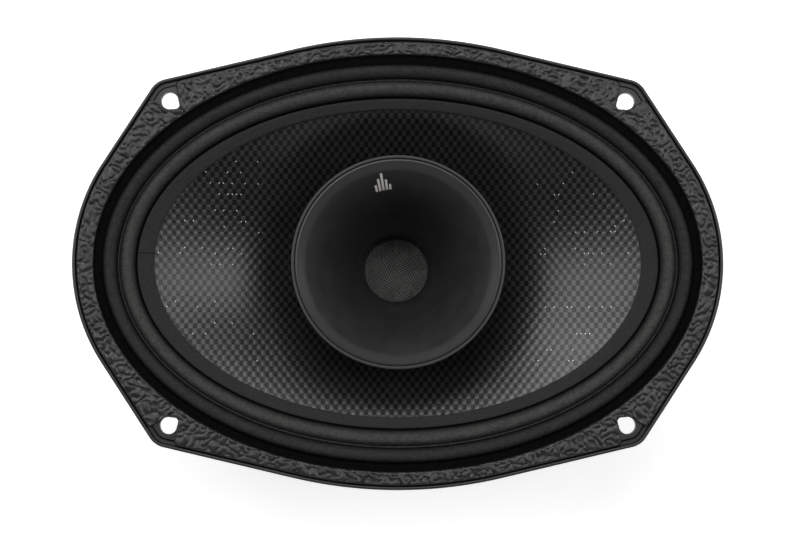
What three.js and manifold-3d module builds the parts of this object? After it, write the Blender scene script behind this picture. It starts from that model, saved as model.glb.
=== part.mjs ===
// A 6 x 9 inch coaxial car speaker: an oval woofer with a horn through its motor and a compression driver behind.
//
// Frame: millimetres. +Z is the speaker's axis, from the rear cover towards the listener, and Z = 0 is the rear
// cover's flat back. +X runs along the long side of the oval, +Y along the short side, and the origin is on the axis.

import * as THREE from "three";
import { mergeVertices } from "three/addons/utils/BufferGeometryUtils.js";
import Module from "manifold-3d";

const wasm = await Module();
wasm.setup();

// ---------------------------------------------------------------------------------------------------------------
// Driving dimensions

const SEGMENTS_OVAL = 40;
const SEGMENTS_ROUND = 28;
const SEGMENTS_DRIVER = 24;
const SEGMENTS_SMALL = 8;
const RADIANS = Math.PI / 180;

// Front flange: four arcs joined by tangent lines, with a mounting hole at the centre of each rounded corner.
const flangeLength = 236.2;
const flangeWidth = 164.4;
const longSideRadius = 165;
const longSideHalfAngle = 13.3;
const endRadius = 66;
const endHalfAngle = 33;
const cornerRadius = 8;
const flangeThickness = 2.5;
const mountHoleRadius = 3.1;
const outerLipWidth = 1.2;
const outerLipHeight = 1.9;
const cornerPadInset = 3.0;
const cornerPadHeight = 1.3;

// Oval opening of the flange, and the rings that follow it towards the cone.
const rimWidthAtEnds = 7.8;
const rimWidthAtSides = 6.6;
const gasketClearance = 0.4;
const gasketHeight = 2.6;
const gasketHoleMargin = 2.1;
const stripEndLong = 3.4;
const stripEndShort = 2.6;
const landingWidth = 2.8;
const rollPitch = 6.15;
const rollHeight = 2.7;
const surroundThickness = 0.6;
const surroundLapUnderGasket = 1.6;
const bandWidthAtEnds = 6.5;
const bandWidthAtSides = 4.4;
const bandThickness = 0.7;

// Heights of the stack, from the bench upwards.
const coverDepth = 14;
const clampRingThickness = 2;
const hfTopPlateThickness = 5;
const hfMagnetThickness = 12;
const hfFrontPlateThickness = 6;
const hfGasketThickness = 0.8;
const yokePlateThickness = 7;
const magnetThickness = 16;
const topPlateThickness = 6;
const basketDepth = 38.7;
const hornProud = 8.5;

// Woofer motor and suspension.
const coilBore = 25.4;
const formerThickness = 0.5;
const formerTop = 17.2;
const windingThickness = 0.6;
const windingHeight = 14.4;
const coilClearance = 0.5;
const magnetOuterRadius = 59;
const magnetInnerGap = 4;
const topPlateRadius = 55.5;
const yokeRadius = 54;
const spiderRadius = 57;
const spiderAmplitude = 1.1;
const spiderThickness = 0.6;
const coneThickness = 0.8;
const coneEdgeDrop = 2.6;
const neckHeight = 14.4;
const coneCurve = 1.2;

// Basket.
const basketWall = 2.2;
const seatInnerGap = 4.1;
const seatOuterRadius = 47.5;
const ledgeHeight = 9.7;
const ledgeOuterRadius = 57.8;
const legWidth = 11;
const legAngles = [-60, -22, 22, 64, 116, 158, 202, 240];
const terminalWeb = 240;
const windowFrom = 0.11;
const windowTo = 0.83;
const bracketThickness = 2.2;
const bracketRise = 3.4;
const bracketClearance = 0.45;
const basketScrewCircle = 39;

// Horn.
const throatRadius = 12.5;
const hornWall = 2;
const mouthRadius = 35.6;
const mouthLip = 1.6;
const rimRingWidth = 1.1;
const rimRingHeight = 3;
const hornFootHeight = 9;
const boreClearance = 0.4;
const screenThickness = 0.5;
const screenDome = 1;

// Compression driver.
const hfMagnetRadius = 39;
const hfPlateRadius = 38;
const hfFrontPlateRadius = 47.5;
const hfCoilRadius = 22;
const hfCoilThickness = 0.6;
const hfCoilClearance = 0.6;
const hfDomeHeight = 9.6;
const hfFilmThickness = 0.3;
const phaseGap = 0.9;
const phaseSlotCount = 8;
const hfCavityRadius = 30;
const coverFloor = 2.4;
const coverScrewCircle = 34;
const hfMountScrewCircle = 43.4;

// Terminals and leads.
const terminalSpacing = 18;
const terminalBlockWidth = 38;
const terminalBlockHeight = 16;
const terminalBlockDepth = 8.6;
const buttonWidth = 10;
const buttonHeight = 6;
const buttonProud = 3.4;
const buttonTravel = 2.5;
const buttonClearance = 0.3;
const wireHoleRadius = 1.8;
const lugWidth = 4.8;
const lugThickness = 0.8;
const lugLength = 7.5;
const capacitorRadius = 4.4;
const capacitorLength = 18;
const leadRadius = 1.1;
const tinselRadius = 0.8;
const tinselDip = 1.5;
const tinselRunIn = 4;
const tinselRise = 0.8;
const tinselLandingGap = 0.55;

// ---------------------------------------------------------------------------------------------------------------
// Levels and fits worked out from the driving dimensions

const zClampRing = coverDepth;
const zHfTopPlate = zClampRing + clampRingThickness;
const zHfMagnet = zHfTopPlate + hfTopPlateThickness;
const zHfFrontPlate = zHfMagnet + hfMagnetThickness;
const zHfGasket = zHfFrontPlate + hfFrontPlateThickness;
const zYoke = zHfGasket + hfGasketThickness;
const zMagnet = zYoke + yokePlateThickness;
const zTopPlate = zMagnet + magnetThickness;
const zBasket = zTopPlate + topPlateThickness;
const zFlange = zBasket + basketDepth;
const zFlangeFront = zFlange + flangeThickness;
const zMouth = zFlangeFront + hornProud;
const zLedge = zBasket + ledgeHeight;
const zSpider = zLedge + basketWall;
const zNeck = zBasket + neckHeight;
const zConeEdge = zFlangeFront - coneEdgeDrop;

const opening = { a: flangeLength / 2 - rimWidthAtEnds, b: flangeWidth / 2 - rimWidthAtSides };
const formerRadius = coilBore + formerThickness;
const windingRadius = formerRadius + windingThickness;
const plateBore = windingRadius + coilClearance;
const poleRadius = coilBore - coilClearance - 0.15;
const magnetInnerRadius = plateBore + magnetInnerGap;
const seatInnerRadius = formerRadius + seatInnerGap;

// Inner wall of the horn at a share of its length, from the throat to the mouth: a flare that opens faster and faster.
const hornInner = (share) =>
  throatRadius + (mouthRadius - throatRadius) * (0.28 * share + 0.72 * share ** 3.4);
const zPoleTop = zBasket - 1;
const hornFootRadius = hornInner((zPoleTop - zYoke) / (zMouth - zYoke)) + hornWall + 0.3;
const poleBore = hornFootRadius + boreClearance;

// Ellipse a given distance inside the flange's opening.
const inside = (distance) => ({ a: opening.a - distance, b: opening.b - distance });
const rollOuterEdge = inside(landingWidth);
const coneEdge = inside(landingWidth + 2 * rollPitch);
const bandInner = { a: coneEdge.a - bandWidthAtEnds, b: coneEdge.b - bandWidthAtSides };

// ---------------------------------------------------------------------------------------------------------------
// Materials

const material = (color, roughness, metalness = 0) =>
  new THREE.MeshStandardMaterial({ color, roughness, metalness });
const castBlack = material(0x1d1c1b, 0.5, 0.2);
const gasketBlack = material(0x2b2a28, 0.55);
const clothBlack = material(0x1a1918, 0.9);
const weaveBlack = material(0x2c2a28, 0.35);
const feltBlack = material(0x242322, 0.95);
const hornBlack = material(0x181716, 0.4);
const ferriteGrey = material(0x2e2e30, 0.7);
const zincSteel = material(0xa9a7a2, 0.35, 0.9);
const blackSteel = material(0x262524, 0.45, 0.7);
const spiderYellow = material(0xb58a45, 0.9);
const kaptonBrown = material(0x7a4a20, 0.5);
const copper = material(0xb46a3a, 0.35, 0.9);
const titanium = material(0x9a9894, 0.35, 0.8);
const brass = material(0xc09a4e, 0.3, 0.9);
const redPlastic = material(0x9c1f1b, 0.4);
const blackPlastic = material(0x202020, 0.45);
const capBlue = material(0x2b3f66, 0.4);

// ---------------------------------------------------------------------------------------------------------------
// Shape helpers

const speaker = new THREE.Group();

function add(name, geometry, look, parent = speaker) {
  const mesh = new THREE.Mesh(geometry, look);
  mesh.name = name;
  parent.add(mesh);
  return mesh;
}

// Turns a lathe, whose axis is Y, so that its axis is +Z.
const upright = (geometry) => geometry.rotateX(Math.PI / 2);

// Counter-clockwise order in the (r, z) plane gives a lathe outward faces.
function counterClockwise(points) {
  const last = points.length - 1;
  const area = points.reduce((sum, p, i) => {
    const q = points[i === last ? 0 : i + 1];
    return sum + p[0] * q[p.length - 1] - q[0] * p[p.length - 1];
  }, 0);
  return area < 0 ? [...points].reverse() : points;
}

// Ring solid from a closed profile of [r, z] points that stay off the axis.
function ring(profile, segments = SEGMENTS_ROUND) {
  const points = counterClockwise(profile);
  const closed = [...points, points[0]].map(([r, z]) => new THREE.Vector2(r, z));
  return upright(new THREE.LatheGeometry(closed, segments));
}

// Plain ring with a rectangular section.
const flatRing = (inner, outer, low, high, segments = SEGMENTS_ROUND) =>
  ring([[inner, low], [outer, low], [outer, high], [inner, high]], segments);

// Solid of revolution whose [r, z] profile starts and ends on the axis, going up its outside.
function turned(profile, segments = SEGMENTS_ROUND) {
  const points = profile.map(([r, z]) => new THREE.Vector2(r, z));
  return upright(new THREE.LatheGeometry(points, segments));
}

// Oval ring solid from a closed profile of [a, b, z] points, each of which runs round an ellipse of half-axes a, b.
function ovalRing(profile, segments = SEGMENTS_OVAL) {
  const points = counterClockwise(profile);
  const closed = [...points, points[0]];
  const geometry = new THREE.LatheGeometry(
    closed.map(([a, , z]) => new THREE.Vector2(a, z)),
    segments,
  );
  upright(geometry);
  const position = geometry.getAttribute("position");
  for (let i = 0; i < position.count; i += 1) {
    const [a, b] = closed[i % closed.length];
    position.setY(i, (position.getY(i) * b) / a);
  }
  return geometry;
}

function box(width, depth, height, x, y, z) {
  return new THREE.BoxGeometry(width, depth, height).translate(x, y, z + height / 2);
}

// Prism of a shape in the XY plane between two heights.
function prism(shape, low, high, curveSegments = 4) {
  return new THREE.ExtrudeGeometry(shape, { depth: high - low, bevelEnabled: false, curveSegments })
    .translate(0, 0, low);
}

const rod = (radius, low, high, x, y, sides = SEGMENTS_SMALL) =>
  upright(new THREE.CylinderGeometry(radius, radius, high - low, sides)).translate(x, y, (low + high) / 2);

// Round bar along Y, for holes in upright faces.
const crossRod = (radius, x, z, yLow, yHigh, sides = SEGMENTS_SMALL) =>
  new THREE.CylinderGeometry(radius, radius, yHigh - yLow, sides).translate(x, (yLow + yHigh) / 2, z);

function toSolid(geometry) {
  const bare = new THREE.BufferGeometry().setAttribute("position", geometry.getAttribute("position"));
  if (geometry.index) {
    bare.setIndex(geometry.index);
  }
  const merged = mergeVertices(bare, 1e-4);
  return new wasm.Manifold(new wasm.Mesh({
    numProp: 3,
    vertProperties: merged.getAttribute("position").array,
    triVerts: new Uint32Array(merged.index.array),
  }));
}

function toGeometry(solid) {
  const mesh = solid.getMesh();
  const geometry = new THREE.BufferGeometry();
  geometry.setAttribute("position", new THREE.BufferAttribute(mesh.vertProperties, mesh.numProp));
  geometry.setIndex(new THREE.BufferAttribute(mesh.triVerts, 1));
  return geometry;
}

const joined = (geometries) => geometries.map(toSolid).reduce((sum, part) => sum.add(part));
const carve = (solid, cutters) => cutters.map(toSolid).reduce((left, cutter) => left.subtract(cutter), solid);
const cut = (geometry, cutters) => toGeometry(carve(toSolid(geometry), cutters));

// Points spaced evenly round a circle.
function around(count, radius, startDegrees = 0) {
  return Array.from({ length: count }, (_, i) => {
    const angle = (startDegrees + (360 * i) / count) * RADIANS;
    return [radius * Math.cos(angle), radius * Math.sin(angle)];
  });
}

// Tube of one radius along a smooth curve through the given points.
function tube(radius, points, sides = 8) {
  const curve = new THREE.CatmullRomCurve3(points.map(([x, y, z]) => new THREE.Vector3(x, y, z)));
  const section = new THREE.Shape();
  section.absarc(0, 0, radius, 0, 2 * Math.PI);
  const steps = Math.min(24, Math.round(curve.getLength() / (5 * radius)));
  return new THREE.ExtrudeGeometry(section, { extrudePath: curve, steps, curveSegments: sides / 2 });
}

// Ellipse outline as a hole or a shape.
function ellipse(PathClass, { a, b }) {
  const path = new PathClass();
  path.absellipse(0, 0, a, b, 0, 2 * Math.PI);
  return path;
}

// ---------------------------------------------------------------------------------------------------------------
// Flange outline

// Each straight edge of the flange is a line at a distance from the centre, square to a direction in degrees.
const longSideDirection = 90 - longSideHalfAngle;
const longSideDistance = longSideRadius + (flangeWidth / 2 - longSideRadius) * Math.cos(longSideHalfAngle * RADIANS);
const endDistance = endRadius + (flangeLength / 2 - endRadius) * Math.cos(endHalfAngle * RADIANS);

// The corner's centre lies one corner radius inside both straight edges. The mounting hole is there.
function cornerCentre() {
  const first = [Math.cos(longSideDirection * RADIANS), Math.sin(longSideDirection * RADIANS)];
  const second = [Math.cos(endHalfAngle * RADIANS), Math.sin(endHalfAngle * RADIANS)];
  const determinant = first[0] * second[1] - first[1] * second[0];
  const d1 = longSideDistance - cornerRadius;
  const d2 = endDistance - cornerRadius;
  return {
    x: (d1 * second[1] - first[1] * d2) / determinant,
    y: (first[0] * d2 - second[0] * d1) / determinant,
  };
}
const corner = cornerCentre();
const cornerHoles = [[1, 1], [-1, 1], [-1, -1], [1, -1]].map(([sx, sy]) => ({
  x: sx * corner.x,
  y: sy * corner.y,
  inward: Math.atan2(-sy * corner.y, -sx * corner.x),
}));

// The flange's outline, moved inwards by an inset.
function flangeOutline(inset, PathClass = THREE.Shape) {
  const path = new PathClass();
  const side = flangeLength / 2 - endRadius;
  const rise = flangeWidth / 2 - longSideRadius;
  const steep = longSideDirection;
  const arc = (x, y, radius, from, to) =>
    path.absarc(x, y, radius - inset, from * RADIANS, to * RADIANS, false);
  arc(side, 0, endRadius, -endHalfAngle, endHalfAngle);
  arc(corner.x, corner.y, cornerRadius, endHalfAngle, steep);
  arc(0, rise, longSideRadius, steep, 180 - steep);
  arc(-corner.x, corner.y, cornerRadius, 180 - steep, 180 - endHalfAngle);
  arc(-side, 0, endRadius, 180 - endHalfAngle, 180 + endHalfAngle);
  arc(-corner.x, -corner.y, cornerRadius, 180 + endHalfAngle, 180 + steep);
  arc(0, -rise, longSideRadius, 180 + steep, 360 - steep);
  arc(corner.x, -corner.y, cornerRadius, 360 - steep, 360 - endHalfAngle);
  path.closePath();
  return path;
}

// Teardrop: a circle with a square-cornered tip towards the speaker's centre.
function teardrop({ x, y, inward }) {
  const shape = new THREE.Shape();
  shape.absarc(x, y, mountHoleRadius, inward + Math.PI / 4, inward - Math.PI / 4, false);
  const reach = mountHoleRadius * Math.SQRT2 * 0.92;
  shape.lineTo(x + reach * Math.cos(inward), y + reach * Math.sin(inward));
  shape.closePath();
  return shape;
}

// The outer corner area that the gasket leaves bare: a wedge whose two edges run square to the flange's straight
// edges, cut off just inside the hole.
function bareCorner({ x, y }) {
  const sx = Math.sign(x);
  const sy = Math.sign(y);
  const outwards = (degrees) => [sx * Math.cos(degrees * RADIANS), sy * Math.sin(degrees * RADIANS)];
  const length = Math.hypot(x, y);
  const inward = [-x / length, -y / length];
  const edge = (degrees, tangent, back) => {
    const normal = outwards(degrees);
    const foot = [-tangent[0] * back, -tangent[1] * back];
    const along = (gasketHoleMargin - foot[0] * inward[0] - foot[1] * inward[1])
      / (normal[0] * inward[0] + normal[1] * inward[1]);
    const at = (distance) => new THREE.Vector2(
      x + foot[0] + normal[0] * distance,
      y + foot[1] + normal[1] * distance,
    );
    return [at(along), at(3 * cornerRadius)];
  };
  const longSide = outwards(longSideDirection);
  const end = outwards(endHalfAngle);
  const [a, b] = edge(longSideDirection, [sx * Math.abs(longSide[1]), -sy * Math.abs(longSide[0])], stripEndLong);
  const [c, d] = edge(endHalfAngle, [-sx * Math.abs(end[1]), sy * Math.abs(end[0])], stripEndShort);
  return new THREE.Shape([a, b, d, c]);
}

// ---------------------------------------------------------------------------------------------------------------
// Basket

// Half of the basket's wall at a direction: distance from the axis to an ellipse, in plan.
function planRadius({ a, b }, degrees) {
  const angle = degrees * RADIANS;
  return (a * b) / Math.hypot(b * Math.cos(angle), a * Math.sin(angle));
}

// Window between two legs, in plan, with parallel-sided legs.
function windowShape(fromLeg, toLeg, inner, outer) {
  const steps = 6;
  const edge = (oval, backwards) => {
    const margin = (radius) => Math.asin(legWidth / 2 / radius) / RADIANS;
    const from = fromLeg + margin(planRadius(oval, fromLeg));
    const to = toLeg - margin(planRadius(oval, toLeg));
    return Array.from({ length: steps + 1 }, (_, i) => {
      const share = backwards ? 1 - i / steps : i / steps;
      const degrees = from + (to - from) * share;
      const radius = planRadius(oval, degrees);
      return new THREE.Vector2(radius * Math.cos(degrees * RADIANS), radius * Math.sin(degrees * RADIANS));
    });
  };
  return new THREE.Shape([...edge(outer, false), ...edge(inner, true)]);
}

const wallTop = inside(landingWidth + 0.6);
const zWallTop = zFlange - 2.4;

// Oval at a share of the way out along the wall, from the ledge's edge to the top.
const wallOval = (share) => ({
  a: ledgeOuterRadius + (wallTop.a - ledgeOuterRadius) * share,
  b: ledgeOuterRadius + (wallTop.b - ledgeOuterRadius) * share,
});
const windowInner = wallOval(windowFrom);
const windowOuter = wallOval(windowTo);

// The terminal bracket stands upright, just clear of the wall at the block's top edge.
const bracketLow = zBasket + bracketRise;
const blockTopShare = (bracketLow + terminalBlockHeight - zLedge) / (zWallTop - zLedge);
const bracketFace = -(wallOval(blockTopShare).b + basketWall * blockTopShare + bracketClearance);
const leadSlotLow = bracketLow + terminalBlockHeight + 2;
const leadSlotHeight = 5.5;

function basket() {
  const plate = prism(flangeOutline(0), zFlange, zFlangeFront);
  const shell = ovalRing([
    [seatInnerRadius, seatInnerRadius, zBasket],
    [seatOuterRadius, seatOuterRadius, zBasket],
    [seatOuterRadius + 1.6, seatOuterRadius + 1.6, zLedge],
    [ledgeOuterRadius, ledgeOuterRadius, zLedge],
    [wallTop.a + basketWall, wallTop.b + basketWall, zWallTop],
    [wallTop.a + basketWall + 1, wallTop.b + basketWall + 1, zFlange + 0.5],
    [wallTop.a, wallTop.b, zFlange + 0.5],
    [wallTop.a, wallTop.b, zFlange - 1.6],
    [ledgeOuterRadius - 0.4, ledgeOuterRadius - 0.4, zSpider],
    [seatOuterRadius + 0.4, seatOuterRadius + 0.4, zSpider],
    [seatOuterRadius - 1.6, seatOuterRadius - 1.6, zBasket + basketWall],
    [seatInnerRadius, seatInnerRadius, zBasket + basketWall],
  ]);
  const lipOutline = flangeOutline(0);
  lipOutline.holes.push(flangeOutline(outerLipWidth, THREE.Path));
  const lip = prism(lipOutline, zFlangeFront - 0.2, zFlangeFront + outerLipHeight);
  const padPlate = toSolid(prism(flangeOutline(cornerPadInset), zFlangeFront - 0.2, zFlangeFront + cornerPadHeight));
  const pads = cornerHoles.map((hole) =>
    padPlate.intersect(toSolid(prism(bareCorner(hole), zFlangeFront - 1, zFlangeFront + 5))));
  const bracket = box(
    terminalBlockWidth, bracketThickness, terminalBlockHeight + 1.5,
    0, bracketFace + bracketThickness / 2, bracketLow,
  );
  const throughOpening = prism(ellipse(THREE.Shape, wallTop), zFlange - 1, zFlangeFront + 5, SEGMENTS_OVAL / 2);
  const flange = carve(pads.reduce((sum, pad) => sum.add(pad), joined([plate, lip])), [
    throughOpening,
    ...cornerHoles.map((hole) => prism(teardrop(hole), zFlange - 1, zFlangeFront + 5)),
  ]);
  const windows = legAngles
    .filter((angle) => angle !== terminalWeb)
    .map((angle) => {
      const next = legAngles[legAngles.indexOf(angle) + 1];
      return prism(windowShape(angle, next, windowInner, windowOuter), zBasket + 4, zFlange - 0.8);
    });
  const leadSlots = [-1, 1].map((side) =>
    box(7, 16, leadSlotHeight, side * terminalSpacing / 2, bracketFace + 3, leadSlotLow));
  const screwHoles = around(4, basketScrewCircle, 45).map(([x, y]) =>
    rod(2.3, zBasket - 1, zBasket + basketWall + 1, x, y));
  const framework = carve(toSolid(shell), windows).add(flange).add(toSolid(bracket));
  add("basket", toGeometry(carve(framework, [...leadSlots, ...screwHoles])), castBlack);
}

// ---------------------------------------------------------------------------------------------------------------
// Front gasket: a raised strip inside the outer lip, cut back round each mounting hole

function frontGasket() {
  const strip = prism(flangeOutline(outerLipWidth + gasketClearance), zFlangeFront, zFlangeFront + gasketHeight);
  const inner = prism(ellipse(THREE.Shape, opening), zFlangeFront - 1, zFlangeFront + 5, SEGMENTS_OVAL / 2);
  const underLap = { a: opening.a + surroundLapUnderGasket, b: opening.b + surroundLapUnderGasket };
  const lapRoom = prism(
    ellipse(THREE.Shape, underLap), zFlangeFront - 1, zFlangeFront + surroundThickness + 0.1, SEGMENTS_OVAL / 2,
  );
  add("front_gasket", cut(strip, [
    inner,
    lapRoom,
    ...cornerHoles.map((hole) => prism(bareCorner(hole), zFlangeFront - 1, zFlangeFront + 5)),
    ...cornerHoles.map((hole) => prism(teardrop(hole), zFlangeFront - 1, zFlangeFront + 5)),
  ]), gasketBlack);
}

// ---------------------------------------------------------------------------------------------------------------
// Cone, its edge band and the suspension

// Height of the cone's front face, from 0 at the neck to 1 at the edge.
const coneFace = (share) => zNeck + (zConeEdge - zNeck) * (1 - (1 - share) ** coneCurve);

function cone() {
  const neck = formerRadius + 0.1;
  const steps = 4;
  const along = (share, lower) => [
    neck + (coneEdge.a - 0.4 - neck) * share,
    neck + (coneEdge.b - 0.4 - neck) * share,
    coneFace(share) - lower,
  ];
  const shares = Array.from({ length: steps + 1 }, (_, i) => i / steps);
  add("cone", ovalRing([
    ...shares.map((share) => along(share, coneThickness + 0.6 * (1 - share))),
    ...shares.reverse().map((share) => along(share, 0)),
  ]), weaveBlack);
}

function coneEdgeBand() {
  const outer = { a: coneEdge.a - 0.6, b: coneEdge.b - 0.6 };
  const faceAt = (a) => coneFace((a - formerRadius - 0.1) / (coneEdge.a - 0.5 - formerRadius));
  const low = faceAt(bandInner.a);
  add("cone_edge_band", ovalRing([
    [bandInner.a, bandInner.b, low + 0.25],
    [outer.a, outer.b, zConeEdge + 0.25],
    [outer.a, outer.b, zConeEdge + 0.25 + bandThickness],
    [bandInner.a, bandInner.b, low + 0.25 + bandThickness],
  ]), feltBlack);
}

// Surround: an M of two half rolls between the cone's edge and the flange.
function surround() {
  const steps = 3;
  const low = zConeEdge + 0.1;
  const high = zFlangeFront + surroundThickness / 2;
  const middle = [];
  for (let roll = 0; roll < 2; roll += 1) {
    for (let i = roll; i <= steps; i += 1) {
      const across = roll + i / steps;
      const floor = low + ((high - low) * across) / 2;
      middle.push([across * rollPitch, floor + rollHeight * Math.sin((Math.PI * i) / steps)]);
    }
  }
  const lap = landingWidth + surroundLapUnderGasket - 0.1;
  const half = surroundThickness / 2;
  const at = ([across, z], lift) => [coneEdge.a + across, coneEdge.b + across, z + lift];
  const path = [...middle, [2 * rollPitch + lap, high]];
  add("surround", ovalRing([
    ...path.map((point) => at(point, -half)),
    ...path.reverse().map((point) => at(point, half)),
  ]), clothBlack);
}

// Spider: corrugated disc from the coil former to the basket's ledge.
function spider() {
  const inner = formerRadius + 0.1;
  const folds = 7;
  const start = inner + 2;
  const end = seatOuterRadius - 1.2;
  const path = [[inner, 0], [start, 0]];
  for (let i = 1; i < folds; i += 1) {
    path.push([start + ((end - start) * i) / folds, i % 2 ? spiderAmplitude : -spiderAmplitude]);
  }
  path.push([end + 0.6, 0], [spiderRadius, 0]);
  const low = path.map(([r, z]) => [r, zSpider + z]);
  const high = path.map(([r, z]) => [r, zSpider + spiderThickness + z]);
  add("spider", ring([...low, ...high.reverse()]), spiderYellow);
}

// ---------------------------------------------------------------------------------------------------------------
// Woofer motor

function wooferMotor() {
  const gapCentre = zTopPlate + topPlateThickness / 2;
  const windingLow = gapCentre - windingHeight / 2;
  const coilBottom = windingLow - 0.6;
  add("voice_coil_former", flatRing(coilBore, formerRadius, coilBottom, zBasket + formerTop), kaptonBrown);
  add("voice_coil_winding",
    flatRing(formerRadius + 0.05, windingRadius, windingLow, windingLow + windingHeight), copper);
  const plateHoles = around(4, basketScrewCircle, 45).map(([x, y]) =>
    rod(2, zTopPlate + 1.5, zBasket + 1, x, y));
  add("woofer_top_plate",
    cut(flatRing(plateBore, topPlateRadius, zTopPlate, zBasket), plateHoles), blackSteel);
  add("woofer_magnet", ring([
    [magnetInnerRadius, zMagnet],
    [magnetOuterRadius - 1.2, zMagnet],
    [magnetOuterRadius, zMagnet + 1.2],
    [magnetOuterRadius, zTopPlate - 1.2],
    [magnetOuterRadius - 1.2, zTopPlate],
    [magnetInnerRadius, zTopPlate],
  ]), ferriteGrey);
  const screwHoles = around(3, hfMountScrewCircle, 90).map(([x, y]) =>
    rod(2.3, zYoke - 1, zYoke + 5.2, x, y));
  add("woofer_yoke", cut(ring([
    [poleBore, zYoke],
    [yokeRadius, zYoke],
    [yokeRadius, zYoke + yokePlateThickness - 1.5],
    [yokeRadius - 1.5, zMagnet],
    [poleRadius, zMagnet],
    [poleRadius, zPoleTop],
    [poleBore, zPoleTop],
  ]), screwHoles), blackSteel);
}

// ---------------------------------------------------------------------------------------------------------------
// Horn, its rim ring and the throat screen

function horn() {
  const length = zMouth - zYoke;
  const shares = [0.13, 0.34, 0.52, 0.68, 0.82, 0.92, 0.97];
  const rise = (share) => zYoke + length * share;
  const innerWall = shares.map((share) => [hornInner(share), rise(share)]);
  const outerWall = shares.map((share) => [hornInner(share) + hornWall, rise(share) - 0.9 * share]);
  const footTop = zYoke + hornFootHeight;
  const screenSeat = throatRadius + 1.5;
  const ledge = zMouth - rimRingHeight - 0.6;
  add("horn", ring([
    [screenSeat, zYoke],
    [hornFootRadius, zYoke],
    [hornFootRadius, footTop],
    [hornInner(0.13) + hornWall, footTop + 1],
    ...outerWall.slice(1, -1),
    [mouthRadius + mouthLip - 0.6, ledge - 1],
    [mouthRadius + mouthLip + rimRingWidth, ledge],
    [mouthRadius + mouthLip + rimRingWidth, ledge + 0.6],
    [mouthRadius + mouthLip, ledge + 0.6],
    [mouthRadius + mouthLip, zMouth - 0.5],
    [mouthRadius + mouthLip - 0.4, zMouth],
    [mouthRadius + 0.2, zMouth - 0.4],
    ...innerWall.reverse(),
    [throatRadius, zYoke + 0.7],
    [screenSeat, zYoke + 0.7],
  ]), hornBlack);
  const ringInner = mouthRadius + mouthLip + 0.25;
  add("horn_rim_ring", ring([
    [ringInner, ledge + 0.6],
    [ringInner + rimRingWidth, ledge + 0.6],
    [ringInner + rimRingWidth, zMouth - 0.9],
    [ringInner + rimRingWidth - 0.4, zMouth - 0.5],
    [ringInner, zMouth - 0.5],
  ]), hornBlack);
}

// Domed wire screen over the driver's exit, clamped under the horn's foot.
function throatScreen() {
  const rim = throatRadius + 1.2;
  const dome = throatRadius - 0.4;
  const face = (lift) => [0.9, 0.55].map((share) => [
    dome * share, zYoke + 0.05 + lift + screenDome * (1 - share ** 2),
  ]);
  add("throat_screen", turned([
    [0, zYoke + 0.05 + screenDome],
    ...face(0).reverse(),
    [dome, zYoke + 0.05],
    [rim, zYoke + 0.05],
    [rim, zYoke + 0.05 + screenThickness],
    [dome, zYoke + 0.05 + screenThickness],
    ...face(screenThickness),
    [0, zYoke + 0.05 + screenDome + screenThickness],
  ], SEGMENTS_DRIVER), zincSteel);
}

// ---------------------------------------------------------------------------------------------------------------
// Compression driver

// The diaphragm bulges to the rear, with its rim at the top plate and the phase plug inside it.
const domeSphere = (hfCoilRadius ** 2 + hfDomeHeight ** 2) / (2 * hfDomeHeight);
const domeRimZ = zHfTopPlate - hfFilmThickness;
const domeDepth = (r) => Math.sqrt(domeSphere ** 2 - r ** 2) - (domeSphere - hfDomeHeight);

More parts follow.
